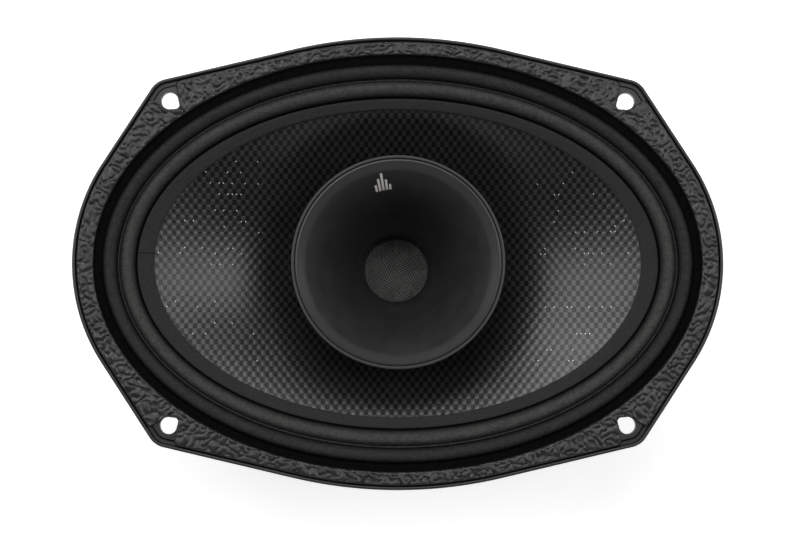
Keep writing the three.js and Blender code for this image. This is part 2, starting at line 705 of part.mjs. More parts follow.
function compressionDriver() {
  const coilOuter = hfCoilRadius + hfCoilThickness;
  const hfBore = coilOuter + hfCoilClearance;
  const hfPole = hfCoilRadius - hfCoilClearance;
  const stations = [0.34, 0.64, 0.86];

  add("hf_gasket", flatRing(throatRadius + 0.2, hfPlateRadius, zHfGasket, zYoke, SEGMENTS_DRIVER), blackPlastic);

  const plugSeat = hfPole - 2.2;
  const mountHoles = around(3, hfMountScrewCircle, 90).map(([x, y]) =>
    rod(2.3, zHfFrontPlate - 1, zHfGasket + 1, x, y));
  add("hf_front_plate", cut(ring([
    [throatRadius, zHfGasket],
    [throatRadius, zHfFrontPlate],
    [throatRadius + 1, zHfMagnet + 4],
    [plugSeat, zHfMagnet + 1],
    [plugSeat, zHfTopPlate + 0.6],
    [hfPole, zHfTopPlate + 0.6],
    [hfPole, zHfFrontPlate],
    [hfFrontPlateRadius - 1, zHfFrontPlate],
    [hfFrontPlateRadius, zHfFrontPlate + 1],
    [hfFrontPlateRadius, zHfGasket - 1],
    [hfFrontPlateRadius - 1, zHfGasket],
  ]), mountHoles), blackSteel);

  add("hf_magnet", ring([
    [27, zHfMagnet],
    [hfMagnetRadius - 1, zHfMagnet],
    [hfMagnetRadius, zHfMagnet + 1],
    [hfMagnetRadius, zHfFrontPlate - 1],
    [hfMagnetRadius - 1, zHfFrontPlate],
    [27, zHfFrontPlate],
  ]), ferriteGrey);

  const plateHoles = around(3, coverScrewCircle, 30).map(([x, y]) =>
    rod(1.9, zHfTopPlate - 1, zHfTopPlate + 3.4, x, y));
  add("hf_top_plate",
    cut(flatRing(hfBore, hfPlateRadius, zHfTopPlate, zHfMagnet, SEGMENTS_DRIVER), plateHoles), zincSteel);

  // Phase plug: a dome that follows the diaphragm, a cone towards the throat, and slots for the sound.
  const plugRadius = plugSeat - 0.15;
  const plugFace = (r) => domeRimZ - domeDepth(r) + phaseGap;
  const plug = turned([
    [0, plugFace(0)],
    ...stations.map((share) => [plugRadius * share, plugFace(plugRadius * share)]),
    [plugRadius, plugFace(plugRadius)],
    [plugRadius, zHfMagnet + 0.7],
    [4, zHfMagnet + 2],
    [0, zHfFrontPlate - 1],
  ], SEGMENTS_DRIVER);
  const slots = around(phaseSlotCount, 1).map(([x, y]) =>
    new THREE.BoxGeometry(10, 1.4, 30).translate(12.4, 0, 0).rotateZ(Math.atan2(y, x))
      .translate(0, 0, zHfTopPlate));
  add("hf_phase_plug", cut(plug, slots), blackPlastic);

  const domeLine = (lift) => stations.map((share) => [
    hfCoilRadius * share, domeRimZ - domeDepth(hfCoilRadius * share) + lift,
  ]);
  add("hf_diaphragm", turned([
    [0, domeRimZ - hfDomeHeight],
    ...domeLine(0),
    [hfCoilRadius + 0.1, domeRimZ],
    [coilOuter, domeRimZ],
    [coilOuter, domeRimZ + hfFilmThickness],
    [hfCoilRadius - 0.15, domeRimZ + hfFilmThickness],
    ...domeLine(hfFilmThickness + 0.1).reverse(),
    [0, domeRimZ - hfDomeHeight + hfFilmThickness + 0.1],
  ], SEGMENTS_DRIVER), titanium);
  add("hf_voice_coil",
    flatRing(hfCoilRadius + 0.05, coilOuter, zHfTopPlate + 0.05, zHfMagnet + 1, SEGMENTS_DRIVER), copper);

  const filmOuter = hfCavityRadius - 0.2;
  add("hf_surround", ring([
    [coilOuter + 0.1, domeRimZ],
    [coilOuter + 1.4, domeRimZ - 0.8],
    [coilOuter + 2.8, domeRimZ],
    [filmOuter, domeRimZ],
    [filmOuter, domeRimZ + hfFilmThickness - 0.02],
    [coilOuter + 2.8, domeRimZ + hfFilmThickness - 0.02],
    [coilOuter + 1.4, domeRimZ - 0.5],
    [coilOuter + 0.1, domeRimZ + hfFilmThickness - 0.02],
  ], SEGMENTS_DRIVER), clothBlack);

  const clampHoles = around(3, coverScrewCircle, 30).map(([x, y]) =>
    rod(1.9, zClampRing - 1, zHfTopPlate + 1, x, y));
  add("hf_clamp_ring", cut(ring([
    [coilOuter + 3.4, zClampRing],
    [hfPlateRadius, zClampRing],
    [hfPlateRadius, zHfTopPlate],
    [hfCavityRadius, zHfTopPlate],
    [hfCavityRadius, domeRimZ - 0.1],
    [coilOuter + 3.4, domeRimZ - 0.1],
  ], SEGMENTS_DRIVER), clampHoles), blackPlastic);

  const coverRadius = hfPlateRadius + 0.6;
  const counterbores = around(3, coverScrewCircle, 30).flatMap(([x, y]) => [
    rod(3.5, -1, 3.2, x, y),
    rod(1.9, 1, coverDepth + 1, x, y),
  ]);
  add("hf_rear_cover", cut(turned([
    [0, 0],
    [coverRadius - 3, 0],
    [coverRadius - 0.8, 0.9],
    [coverRadius, 3],
    [coverRadius, coverDepth],
    [hfCavityRadius, coverDepth],
    [hfCavityRadius, 6],
    [hfCavityRadius - 4, coverFloor],
    [0, coverFloor],
  ]), counterbores), blackPlastic);
}

// ---------------------------------------------------------------------------------------------------------------
// Screws

// Pan-head screw with a hexagon socket. Its head sits below the face at Z = 0 and its shank runs up from it.
function screwGeometry(headRadius, headHeight, shankRadius, length) {
  const blank = turned([
    [0, -headHeight],
    [headRadius * 0.7, -headHeight],
    [headRadius, -headHeight * 0.6],
    [headRadius, 0],
    [shankRadius, 0],
    [shankRadius, length - 0.6],
    [shankRadius - 0.6, length],
    [0, length],
  ], SEGMENTS_SMALL);
  const socket = rod(headRadius * 0.5, -headHeight - 1, -headHeight * 0.45, 0, 0, 6);
  return cut(blank, [socket]);
}

function screwCircle(name, geometry, points, z, look, headUp = false) {
  points.forEach(([x, y], i) => {
    const mesh = add(`${name}_${i + 1}`, geometry, look);
    mesh.position.set(x, y, z);
    if (headUp) {
      mesh.rotation.x = Math.PI;
    }
  });
}

function screws() {
  const coverScrew = screwGeometry(3, 2, 1.5, 15);
  screwCircle("hf_cover_screw", coverScrew, around(3, coverScrewCircle, 30), 3.2, blackSteel);
  const mountScrew = screwGeometry(3.4, 2.6, 2, 11);
  screwCircle("hf_mount_screw", mountScrew, around(3, hfMountScrewCircle, 90), zHfFrontPlate, zincSteel);
  const basketScrew = screwGeometry(3.4, 2.2, 1.7, 6.4);
  screwCircle("basket_screw", basketScrew, around(4, basketScrewCircle, 45), zBasket + basketWall, zincSteel, true);
}

// ---------------------------------------------------------------------------------------------------------------
// Terminals, capacitor and leads

function terminals() {
  const back = bracketFace - 0.3;
  const front = back - terminalBlockDepth;
  const low = bracketLow;
  const buttonZ = low + terminalBlockHeight - buttonHeight - 1.8;
  const pocketDepth = buttonTravel + 4.4;
  const sides = { positive: 1, negative: -1 };
  const pockets = Object.values(sides).flatMap((side) => {
    const x = (side * terminalSpacing) / 2;
    const extra = 2 * buttonClearance;
    return [
      box(buttonWidth + extra, 2 * pocketDepth, buttonHeight + extra, x, front, buttonZ - buttonClearance),
      crossRod(wireHoleRadius, x, low + 4, front - 1, back + 1),
    ];
  });
  const body = box(terminalBlockWidth, terminalBlockDepth, terminalBlockHeight, 0, (back + front) / 2, low);
  add("terminal_block", cut(body, pockets), blackPlastic);

  for (const [name, side] of Object.entries(sides)) {
    const x = (side * terminalSpacing) / 2;
    const buttonLength = buttonProud + pocketDepth - buttonTravel - 0.4;
    const button = box(buttonWidth, buttonLength, buttonHeight, x, front - buttonProud + buttonLength / 2, buttonZ);
    const grooves = [0.3, 0.5, 0.7].map((share) =>
      crossRod(0.5, 0, 0, -buttonWidth, buttonWidth, 6).rotateZ(Math.PI / 2)
        .translate(x, front - buttonProud, buttonZ + buttonHeight * share));
    add(`terminal_button_${name}`, cut(button, grooves), side > 0 ? redPlastic : blackPlastic);
    add(`terminal_lug_${name}`,
      box(lugWidth, lugThickness, lugLength, x, (back + front) / 2, low - lugLength), brass);
  }

  const middle = (back + front) / 2;
  const lugFoot = low - lugLength;
  const capacitorTop = zTopPlate - 4;
  const capacitorLow = capacitorTop - capacitorLength;
  const half = terminalSpacing / 2;
  const capacitorY = -(Math.sqrt(magnetOuterRadius ** 2 - half ** 2) + capacitorRadius + 1);
  add("crossover_capacitor", turned([
    [0, capacitorLow],
    [capacitorRadius - 0.8, capacitorLow],
    [capacitorRadius, capacitorLow + 0.8],
    [capacitorRadius, capacitorTop - 0.8],
    [capacitorRadius - 0.8, capacitorTop],
    [0, capacitorTop],
  ], 16).translate(half, capacitorY, 0), capBlue);

  // Driver tabs on a small board at the compression driver's side.
  const boardFace = -(hfPlateRadius + 1.3);
  const tabZ = zHfTopPlate + 1.6;
  add("hf_terminal_board", box(22, 2.4, 7, 0, boardFace - 1.2, zHfTopPlate - 1), blackPlastic);
  const tabLength = 7;
  for (const [name, side] of Object.entries(sides)) {
    add(`hf_tab_${name}`,
      box(lugWidth, tabLength, lugThickness, side * 6, boardFace - 2.4 - tabLength / 2, tabZ), brass);
  }
  const tabEnd = boardFace - 2.4 - tabLength;

  add("hf_lead_upper", tube(leadRadius, [
    [half, middle, lugFoot - 0.5],
    [half, middle, lugFoot - 1.6],
    [half, capacitorY, capacitorTop + 1.6],
    [half, capacitorY, capacitorTop + 0.5],
  ]), redPlastic);
  add("hf_lead_positive", tube(leadRadius, [
    [half, capacitorY, capacitorLow - 0.3],
    [half, capacitorY + 1, capacitorLow - 8],
    [half - 1, capacitorY + 5, tabZ + 6],
    [6, tabEnd - 3.6, tabZ + 0.8],
    [6, tabEnd - 0.3, tabZ + 0.4],
  ]), redPlastic);
  add("hf_lead_negative", tube(leadRadius, [
    [-half, middle, lugFoot - 0.5],
    [-half, middle, lugFoot - 1.6],
    [-half, capacitorY + 1, zTopPlate - 6],
    [-half, capacitorY + 1, zMagnet - 6],
    [-half + 1, capacitorY + 5, tabZ + 6],
    [-6, tabEnd - 3.6, tabZ + 0.8],
    [-6, tabEnd - 0.3, tabZ + 0.4],
  ]), blackPlastic);

  // Braided leads from the block, through the slots in the basket, to the back of the cone.
  const slotZ = leadSlotLow + 3;
  const landing = 0.36;
  const landingY = -(formerRadius + (coneEdge.b - formerRadius) * landing);
  const landingZ = coneFace(landing) - coneThickness - tinselRadius - tinselLandingGap;
  for (const [name, side] of Object.entries(sides)) {
    const x = (side * terminalSpacing) / 2;
    add(`tinsel_lead_${name}`, tube(tinselRadius, [
      [x, middle, low + terminalBlockHeight + 0.3],
      [x, middle + 0.8, slotZ - 1],
      [x, bracketFace + 1, slotZ],
      [x, (bracketFace + landingY) / 2, slotZ - tinselDip],
      [x * 0.85, landingY - tinselRunIn, landingZ - tinselRise],
      [x * 0.7, landingY, landingZ],
    ]), copper);
  }
}

basket();
frontGasket();
cone();
coneEdgeBand();
surround();
spider();
wooferMotor();
horn();
throatScreen();
compressionDriver();
screws();
terminals();

export default speaker;
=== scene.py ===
import math

import bmesh
import bpy
import numpy as np
from mathutils import Matrix, Vector


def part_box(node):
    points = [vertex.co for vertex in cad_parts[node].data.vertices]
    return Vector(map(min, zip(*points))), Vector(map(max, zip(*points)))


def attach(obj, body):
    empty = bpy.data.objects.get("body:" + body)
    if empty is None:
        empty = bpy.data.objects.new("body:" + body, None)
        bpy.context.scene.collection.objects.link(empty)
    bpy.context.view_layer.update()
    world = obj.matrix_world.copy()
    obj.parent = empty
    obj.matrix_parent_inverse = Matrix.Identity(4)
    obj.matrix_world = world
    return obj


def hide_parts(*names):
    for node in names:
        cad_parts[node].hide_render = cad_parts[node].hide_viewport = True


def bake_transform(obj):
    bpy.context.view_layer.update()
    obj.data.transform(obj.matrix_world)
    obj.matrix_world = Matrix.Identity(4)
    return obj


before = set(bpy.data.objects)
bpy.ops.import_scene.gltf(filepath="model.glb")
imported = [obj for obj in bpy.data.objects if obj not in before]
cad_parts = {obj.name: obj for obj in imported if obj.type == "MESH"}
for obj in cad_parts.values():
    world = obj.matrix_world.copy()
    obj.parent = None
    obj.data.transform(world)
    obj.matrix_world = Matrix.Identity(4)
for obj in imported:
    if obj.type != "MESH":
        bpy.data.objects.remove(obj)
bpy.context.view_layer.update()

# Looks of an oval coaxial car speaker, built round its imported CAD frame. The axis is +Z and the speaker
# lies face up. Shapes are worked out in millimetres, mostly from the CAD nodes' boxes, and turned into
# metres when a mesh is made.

MM = 0.001

# ------------------------------------------------------------------------------
# Sizes, in millimetres


def box_mm(node):
    """Lowest and highest corner of a CAD node, in millimetres."""
    low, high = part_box(node)
    return np.array(low) / MM, np.array(high) / MM


def middle_mm(node):
    """Centre and size of a CAD node's box, in millimetres."""
    low, high = box_mm(node)
    return (low + high) / 2, high - low


def radius_of(node):
    """Half the width of a round CAD node, in millimetres."""
    return middle_mm(node)[1][1] / 2


BASKET_LOW, BASKET_HIGH = box_mm("basket")
FLANGE_HALF_LENGTH = BASKET_HIGH[0]
FLANGE_HALF_WIDTH = BASKET_HIGH[1]
LIP_TOP = BASKET_HIGH[2]
Z_SEAT = BASKET_LOW[2]
Z_FRONT = box_mm("front_gasket")[0][2]
FLANGE_THICKNESS = 2.5
Z_MOUNT = Z_FRONT - FLANGE_THICKNESS
GASKET_HEIGHT = box_mm("front_gasket")[1][2] - Z_FRONT
GASKET_INSET = FLANGE_HALF_LENGTH - box_mm("front_gasket")[1][0]

LONG_SIDE_RADIUS = 165.0
LONG_SIDE_HALF_ANGLE = 13.3
END_RADIUS = 66.0
END_HALF_ANGLE = 33.0
CORNER_RADIUS = 8.0
HOLE_RADIUS = 3.1
OPENING = np.array([FLANGE_HALF_LENGTH - 7.8, FLANGE_HALF_WIDTH - 6.6])
LANDING = 2.8
ROLL_PITCH = 6.15
ROLL_HEIGHT = 2.7
CONE_EDGE = OPENING - LANDING - 2 * ROLL_PITCH
BAND_INNER = np.array([CONE_EDGE[0] - 6.5, CONE_EDGE[1] - 4.4])
WALL_TOP = OPENING - LANDING - 0.6
WALL = 2.2

FORMER_RADIUS = radius_of("voice_coil_former")
FORMER_WALL = 0.5
Z_CONE_EDGE = box_mm("cone")[1][2]
CONE_THICKNESS = 0.8
NECK = FORMER_RADIUS + 0.1
Z_NECK = Z_SEAT + 14.4
CONE_CURVE = 1.2
CONE_REACH = CONE_EDGE - 0.4 - NECK

LEDGE_RADIUS = 57.8
SEAT_RADIUS = 47.5
SEAT_INNER = FORMER_RADIUS + 4.1
Z_LEDGE = Z_SEAT + 9.7
Z_SPIDER = Z_LEDGE + WALL
LEG_ANGLES = (-60, -22, 22, 64, 116, 158, 202)
TERMINAL_WEB = 240
LEG_WIDTH = 11.0

Z_MOUTH = box_mm("horn")[1][2]
Z_THROAT = box_mm("horn")[0][2]
HORN_LENGTH = Z_MOUTH - Z_THROAT
THROAT_RADIUS = 12.5
MOUTH_RADIUS = 35.6
MOUTH_LIP = 1.6
HORN_WALL = 2.0

LUG_X = middle_mm("terminal_lug_positive")[0][0]
BRACKET_FACE = box_mm("terminal_block")[1][1] + 0.3
BRACKET_THICKNESS = 2.2
SCREW_CIRCLE = 39
SCREW_HOLE = 2.3

# ------------------------------------------------------------------------------
# Mesh helpers


def add_object(name, data):
    """Puts a mesh, light or camera into the scene."""
    obj = bpy.data.objects.new(name, data)
    bpy.context.collection.objects.link(obj)
    return obj


def from_bmesh(name, bm):
    """Object made from a bmesh, which is freed."""
    mesh = bpy.data.meshes.new(name)
    bm.to_mesh(mesh)
    bm.free()
    return add_object(name, mesh)


def new_object(name, points, faces, smooth_angle=35):
    """Mesh object from points in millimetres. Edges sharper than the angle, in degrees, stay sharp."""
    mesh = bpy.data.meshes.new(name)
    mesh.from_pydata((np.asarray(points, float) * MM).tolist(), [], faces)
    mesh.validate()
    mesh.update()
    face_outwards(mesh)
    obj = add_object(name, mesh)
    smooth(obj, smooth_angle)
    return obj


def face_outwards(mesh):
    """Turns a closed mesh right side out if its volume comes out negative."""
    bm = bmesh.new()
    bm.from_mesh(mesh)
    if all(edge.is_manifold for edge in bm.edges) and bm.calc_volume(signed=True) < 0:
        bmesh.ops.reverse_faces(bm, faces=bm.faces)
        bm.to_mesh(mesh)
    bm.free()


def smooth(obj, angle=35):
    obj.data.shade_smooth()
    obj.data.set_sharp_from_angle(angle=math.radians(angle))


def settle(obj, look, slot, *replaces, body="frame"):
    """Gives a piece its material, hides the CAD nodes it stands for and, if it is stiff, puts it under its
    body. The slot is not used.
    """
    obj.data.materials.clear()
    obj.data.materials.append(look)
    if body:
        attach(obj, body)
    if replaces:
        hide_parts(*replaces)


def around(radius, degrees):
    """Point [x, y] at a radius and a direction."""
    return radius * math.cos(math.radians(degrees)), radius * math.sin(math.radians(degrees))


def circle(count):
    """Evenly spaced directions all the way round, in radians."""
    return np.linspace(0, 2 * math.pi, count, endpoint=False)


def grid_faces(rows, columns, close_rows=True):
    """Quads between loops of points stored loop by loop. Closing joins the last loop to the first."""
    faces = []
    for i in range(rows if close_rows else rows - 1):
        j = (i + 1) % rows
        for k in range(columns):
            m = (k + 1) % columns
            faces.append((i * columns + k, i * columns + m, j * columns + m, j * columns + k))
    return faces


def oval_loops(profile, angles):
    """A loop round the axis for each [a, b, z] of a profile: half-axes a and b, at height z."""
    x, y = np.cos(angles), np.sin(angles)
    return [np.stack([a * x, b * y, np.full(len(angles), z)], 1) for a, b, z in profile]


def loft(name, loops, smooth_angle=35):
    """Closed ring solid through loops of points, which follow its section."""
    loops = np.asarray(loops, float)
    rows, columns = loops.shape[:2]
    return new_object(name, loops.reshape(-1, 3), grid_faces(rows, columns), smooth_angle)


def turn(name, profile, samples):
    """Solid of revolution from an open [r, z] profile that starts and ends on the axis."""
    profile = np.asarray(profile, float)
    body = profile[1:-1]
    rings = oval_loops([(r, r, z) for r, z in body], circle(samples))
    points = np.vstack(rings + [[[0, 0, profile[0][1]]], [[0, 0, profile[-1][1]]]])
    faces = grid_faces(len(body), samples, close_rows=False)
    bottom, top = len(points) - 2, len(points) - 1
    last = (len(body) - 1) * samples
    for k in range(samples):
        m = (k + 1) % samples
        faces.append((bottom, m, k))
        faces.append((top, last + k, last + m))
    return new_object(name, points, faces)


def shoelace(points):
    """Twice the signed area of a closed outline of [x, y] points, positive if counter-clockwise."""
    x, y = np.asarray(points, float).T
    return np.sum(x * np.roll(y, -1) - np.roll(x, -1) * y)


def rounded(start, corner, end, steps):
    """Points of the curve that leaves start towards the corner and arrives at end."""
    for t in np.linspace(0, 1, steps):
        yield (1 - t) ** 2 * start + 2 * t * (1 - t) * corner + t * t * end


def eased(profile, radius, steps):
    """Rounds every corner of a closed profile with a short curve, no longer than a third of either edge."""
    profile = [np.asarray(p, float) for p in profile]
    out = []
    for i, corner in enumerate(profile):
        before = profile[i - 1] - corner
        after = profile[(i + 1) % len(profile)] - corner
        lengths = np.linalg.norm(before), np.linalg.norm(after)
        reach = min(radius, lengths[0] / 3, lengths[1] / 3)
        start = corner + before / lengths[0] * reach
        end = corner + after / lengths[1] * reach
        out.extend(rounded(start, corner, end, steps + 1))
    return out


def counter_clockwise(profile):
    """A closed outline, reversed if it runs clockwise."""
    p = np.asarray(profile, float)
    return p[::-1] if shoelace(p) < 0 else p


def round_ring(name, profile, samples, radius=0.25, steps=2, smooth_angle=35):
    """Closed ring of revolution from [r, z] points, its corners rounded if there is a radius."""
    profile = [(r, r, z) for r, z in counter_clockwise(profile)]
    if radius:
        profile = eased(profile, radius, steps)
    return loft(name, oval_loops(profile, circle(samples)), smooth_angle)


def flat_ring(inner, outer, low, high):
    """Section of a plain ring."""
    return [(inner, low), (outer, low), (outer, high), (inner, high)]


def prism(name, outline, low, high):
    """Solid with a flat outline of [x, y] points between two heights."""
    outline = np.asarray(outline, float)
    n = len(outline)
    bottom = np.column_stack([outline, np.full(n, low)])
    top = np.column_stack([outline, np.full(n, high)])
    faces = [tuple(range(n - 1, -1, -1)), tuple(range(n, 2 * n))]
    faces += [(k, (k + 1) % n, n + (k + 1) % n, n + k) for k in range(n)]
    return new_object(name, np.vstack([bottom, top]), faces)


def block(name, centre, size, bevel, segments=2):
    """Box with rounded edges."""
    bm = bmesh.new()
    bmesh.ops.create_cube(bm, size=1.0)
    bmesh.ops.scale(bm, vec=Vector(size) * MM, verts=bm.verts)
    bmesh.ops.translate(bm, vec=Vector(centre) * MM, verts=bm.verts)
    if bevel:
        bmesh.ops.bevel(
            bm, geom=bm.edges[:], offset=bevel * MM, segments=segments, affect="EDGES", profile=0.5)
    obj = from_bmesh(name, bm)
    smooth(obj, 50)
    return obj


def rod(name, radius, start, end, sides=32):
    """Plain cylinder between two points."""
    start, end = Vector(start) * MM, Vector(end) * MM
    bm = bmesh.new()
    bmesh.ops.create_cone(
        bm, cap_ends=True, segments=sides, radius1=radius * MM, radius2=radius * MM,
        depth=(end - start).length)
    turn_to = (end - start).to_track_quat("Z", "Y").to_matrix().to_4x4()
    bmesh.ops.transform(bm, matrix=Matrix.Translation((start + end) / 2) @ turn_to, verts=bm.verts)
    obj = from_bmesh(name, bm)
    smooth(obj)
    return obj


def combine(obj, others, operation):
    """Cuts the other objects out of this one, or joins them to it, and removes them."""
    for other in others:
        modifier = obj.modifiers.new("combine", "BOOLEAN")
        modifier.operation = operation
        modifier.solver = "MANIFOLD"
        modifier.object = other
        apply_modifiers(obj)
        bpy.data.objects.remove(other)


def cut(obj, cutters, smooth_angle=40):
    combine(obj, cutters, "DIFFERENCE")
    smooth(obj, smooth_angle)


def apply_modifiers(obj):
    graph = bpy.context.evaluated_depsgraph_get()
    graph.update()
    made = bpy.data.meshes.new_from_object(obj.evaluated_get(graph))
    obj.modifiers.clear()
    obj.data = made


def move(obj, offset):
    """Moves a mesh by an offset in millimetres."""
    obj.data.transform(Matrix.Translation(Vector(offset) * MM))


def merge(name, objects):
    """One object that holds all the given meshes."""
    bm = bmesh.new()
    for obj in objects:
        obj.data.transform(obj.matrix_world)
        bm.from_mesh(obj.data)
    for obj in objects:
        bpy.data.objects.remove(obj)
    return from_bmesh(name, bm)


def smooth_path(points, count):
    """Points spaced evenly along a smooth curve through the given points."""
    p = np.asarray(points, float)
    ends = np.vstack([2 * p[0] - p[1], p, 2 * p[-1] - p[-2]])
    dense = []
    for i in range(1, len(ends) - 2):
        a, b, c, d = ends[i - 1:i + 3]
        for t in np.linspace(0, 1, 24, endpoint=False):
            square = (2 * a - 5 * b + 4 * c - d) * t ** 2
            cube = (3 * b - a - 3 * c + d) * t ** 3
            dense.append(0.5 * (2 * b + (c - a) * t + square + cube))
    dense = np.vstack([dense, [p[-1]]])
    steps = np.r_[0, np.cumsum(np.linalg.norm(np.diff(dense, axis=0), axis=1))]
    at = np.linspace(0, steps[-1], count)
    return np.stack([np.interp(at, steps, dense[:, k]) for k in range(3)], 1)


def frames_along(path):
    """Two directions square to the path at each of its points, turning as little as possible."""
    tangents = np.gradient(path, axis=0)
    tangents /= np.linalg.norm(tangents, axis=1)[:, None]
    side = np.cross(tangents[0], (0, 0, 1) if abs(tangents[0][2]) < 0.9 else (1, 0, 0))
    sides = []
    for tangent in tangents:
        side = side - tangent * (side @ tangent)
        side = side / np.linalg.norm(side)
        sides.append(side)
    sides = np.array(sides)
    return sides, np.cross(tangents, sides)


def tube(name, path, radius, sides):
    """Round tube with closed ends along a path. The radius may differ at each point."""
    path = np.asarray(path, float)
    radius = np.broadcast_to(radius, len(path))
    across, up = frames_along(path)
    angles = circle(sides)[None, :, None]
    offsets = np.cos(angles) * across[:, None] + np.sin(angles) * up[:, None]
    rings = path[:, None] + radius[:, None, None] * offsets
    faces = grid_faces(len(path), sides, close_rows=False)
    faces.append(tuple(range(sides - 1, -1, -1)))
    faces.append(tuple(range((len(path) - 1) * sides, len(path) * sides)))
    return new_object(name, rings.reshape(-1, 3), faces, 60)


# ------------------------------------------------------------------------------
# Noise for displaced surfaces

NOISE_TABLE = np.random.default_rng(7).permutation(256)
NOISE_GRADIENTS = np.random.default_rng(8).normal(size=(256, 3))
NOISE_GRADIENTS /= np.linalg.norm(NOISE_GRADIENTS, axis=1)[:, None]


def noise(points, size, shift=0.0):
    """Smooth gradient noise from about -0.7 to 0.7, with features of the given size."""
    p = np.asarray(points, float) / size + shift
    cell = np.floor(p).astype(int)
    f = p - cell
    ease = f ** 3 * (f * (f * 6 - 15) + 10)
    total = 0
    for corner in np.ndindex(2, 2, 2):
        at = (cell + corner) & 255
        index = NOISE_TABLE[(NOISE_TABLE[(NOISE_TABLE[at[..., 0]] + at[..., 1]) & 255] + at[..., 2]) & 255]
        dot = np.sum(NOISE_GRADIENTS[index] * (f - corner), -1)
        weight = np.prod(np.where(corner, ease, 1 - ease), -1)
        total = total + dot * weight
    return total


# ------------------------------------------------------------------------------
# Materials


def material(name, color, roughness, metallic=0.0, specular=0.5):
    """Principled material. Its even values are set on the shader's own sockets."""
    made = bpy.data.materials.new(name)
    made.use_nodes = True
    shader = made.node_tree.nodes["Principled BSDF"]
    shader.inputs["Base Color"].default_value = (*color, 1)
    shader.inputs["Roughness"].default_value = roughness
    shader.inputs["Metallic"].default_value = metallic
    shader.inputs["Specular IOR Level"].default_value = specular
    return made


def node(made, kind, **values):
    """Adds a node. Values whose names match an input set it, and the rest are the node's own properties."""
    added = made.node_tree.nodes.new(kind)
    for key, value in values.items():
        label = key.replace("_", " ").title()
        if label in added.inputs:
            added.inputs[label].default_value = value
        else:
            setattr(added, key, value)
    return added


def link(made, source, target):
    made.node_tree.links.new(source, target)


def feed(made, value, socket):
    """Sets a socket to a number or a colour, or links another node's output to it."""
    if isinstance(value, (int, float)):
        socket.default_value = value
    elif isinstance(value, tuple):
        socket.default_value = (*value, 1)
    else:
        link(made, value, socket)


def scaled(place, made, scale):
    """Coordinates multiplied by a scale for each direction."""
    mapping = node(made, "ShaderNodeMapping")
    mapping.inputs["Scale"].default_value = scale
    link(made, place, mapping.inputs["Vector"])
    return mapping.outputs["Vector"]


def shader_of(made):
    return made.node_tree.nodes["Principled BSDF"]


def object_place(made):
    """Object coordinates in millimetres."""
    place = node(made, "ShaderNodeTexCoord")
    return scaled(place.outputs["Object"], made, (1 / MM, 1 / MM, 1 / MM))


def noise_texture(made, place, scale, detail=3.0, roughness=0.55):
    texture = node(made, "ShaderNodeTexNoise", scale=scale, detail=detail, roughness=roughness)
    link(made, place, texture.inputs["Vector"])
    return texture.outputs["Fac"]


def ramp(made, value, low, high, from_low=0.35, from_high=0.65):
    """Maps a value to a range of numbers."""
    mapped = node(made, "ShaderNodeMapRange")
    mapped.inputs["From Min"].default_value = from_low
    mapped.inputs["From Max"].default_value = from_high
    mapped.inputs["To Min"].default_value = low
    mapped.inputs["To Max"].default_value = high
    link(made, value, mapped.inputs["Value"])
    return mapped.outputs["Result"]


def mixed(made, share, first, second):
    """Colour between a first and a second one, by a share from 0 to 1."""
    mix = node(made, "ShaderNodeMix", data_type="RGBA")
    colors = [socket for socket in mix.inputs if socket.type == "RGBA"]
    link(made, share, mix.inputs[0])
    feed(made, first, colors[0])
    feed(made, second, colors[1])
    return [socket for socket in mix.outputs if socket.type == "RGBA"][0]


def tint(made, value, dark, light, from_low=0.35, from_high=0.65):
    """Colour that runs from dark to light with a value."""
    return mixed(made, ramp(made, value, 0, 1, from_low, from_high), dark, light)


def bump(made, height, strength, distance_mm, before=None):
    """Feeds a height into the shader's normal, after another bump if there is one."""
    made_bump = node(made, "ShaderNodeBump")
    made_bump.inputs["Strength"].default_value = strength
    made_bump.inputs["Distance"].default_value = distance_mm * MM
    link(made, height, made_bump.inputs["Height"])
    if before:
        link(made, before, made_bump.inputs["Normal"])
    link(made, made_bump.outputs["Normal"], shader_of(made).inputs["Normal"])
    return made_bump.outputs["Normal"]


def mottled(made, place, scale, dark, light, rough_low, rough_high):
    """Uneven colour and roughness from one noise."""
    value = noise_texture(made, place, scale, 4)
    link(made, tint(made, value, dark, light), shader_of(made).inputs["Base Color"])
    link(made, ramp(made, value, rough_low, rough_high), shader_of(made).inputs["Roughness"])
    return value


def math_node(made, operation, *values):
    made_node = node(made, "ShaderNodeMath", operation=operation)
    for socket, value in zip(made_node.inputs, values):
        feed(made, value, socket)
    return made_node.outputs[0]


def grey(value, warmth=0.03):
    """Near-neutral dark colour, very slightly warm."""
    return (value * (1 + warmth), value, value * (1 - warmth))


def times(color, factor):
    return tuple(part * factor for part in color)


def plain_material(name, color, rough, metallic=0.0, grain=2.5, grain_height=0.02, spread=0.15):
    """Moulded, cast or machined surface: slightly uneven tone and roughness with a fine grain."""
    made = material(name, color, rough, metallic)
    place = object_place(made)
    dark, light = times(color, 1 - spread), times(color, 1 + spread)
    mottled(made, place, 0.12, dark, light, rough - 0.05, rough + 0.06)
    bump(made, noise_texture(made, place, grain, 2), 0.5, grain_height)
    return made


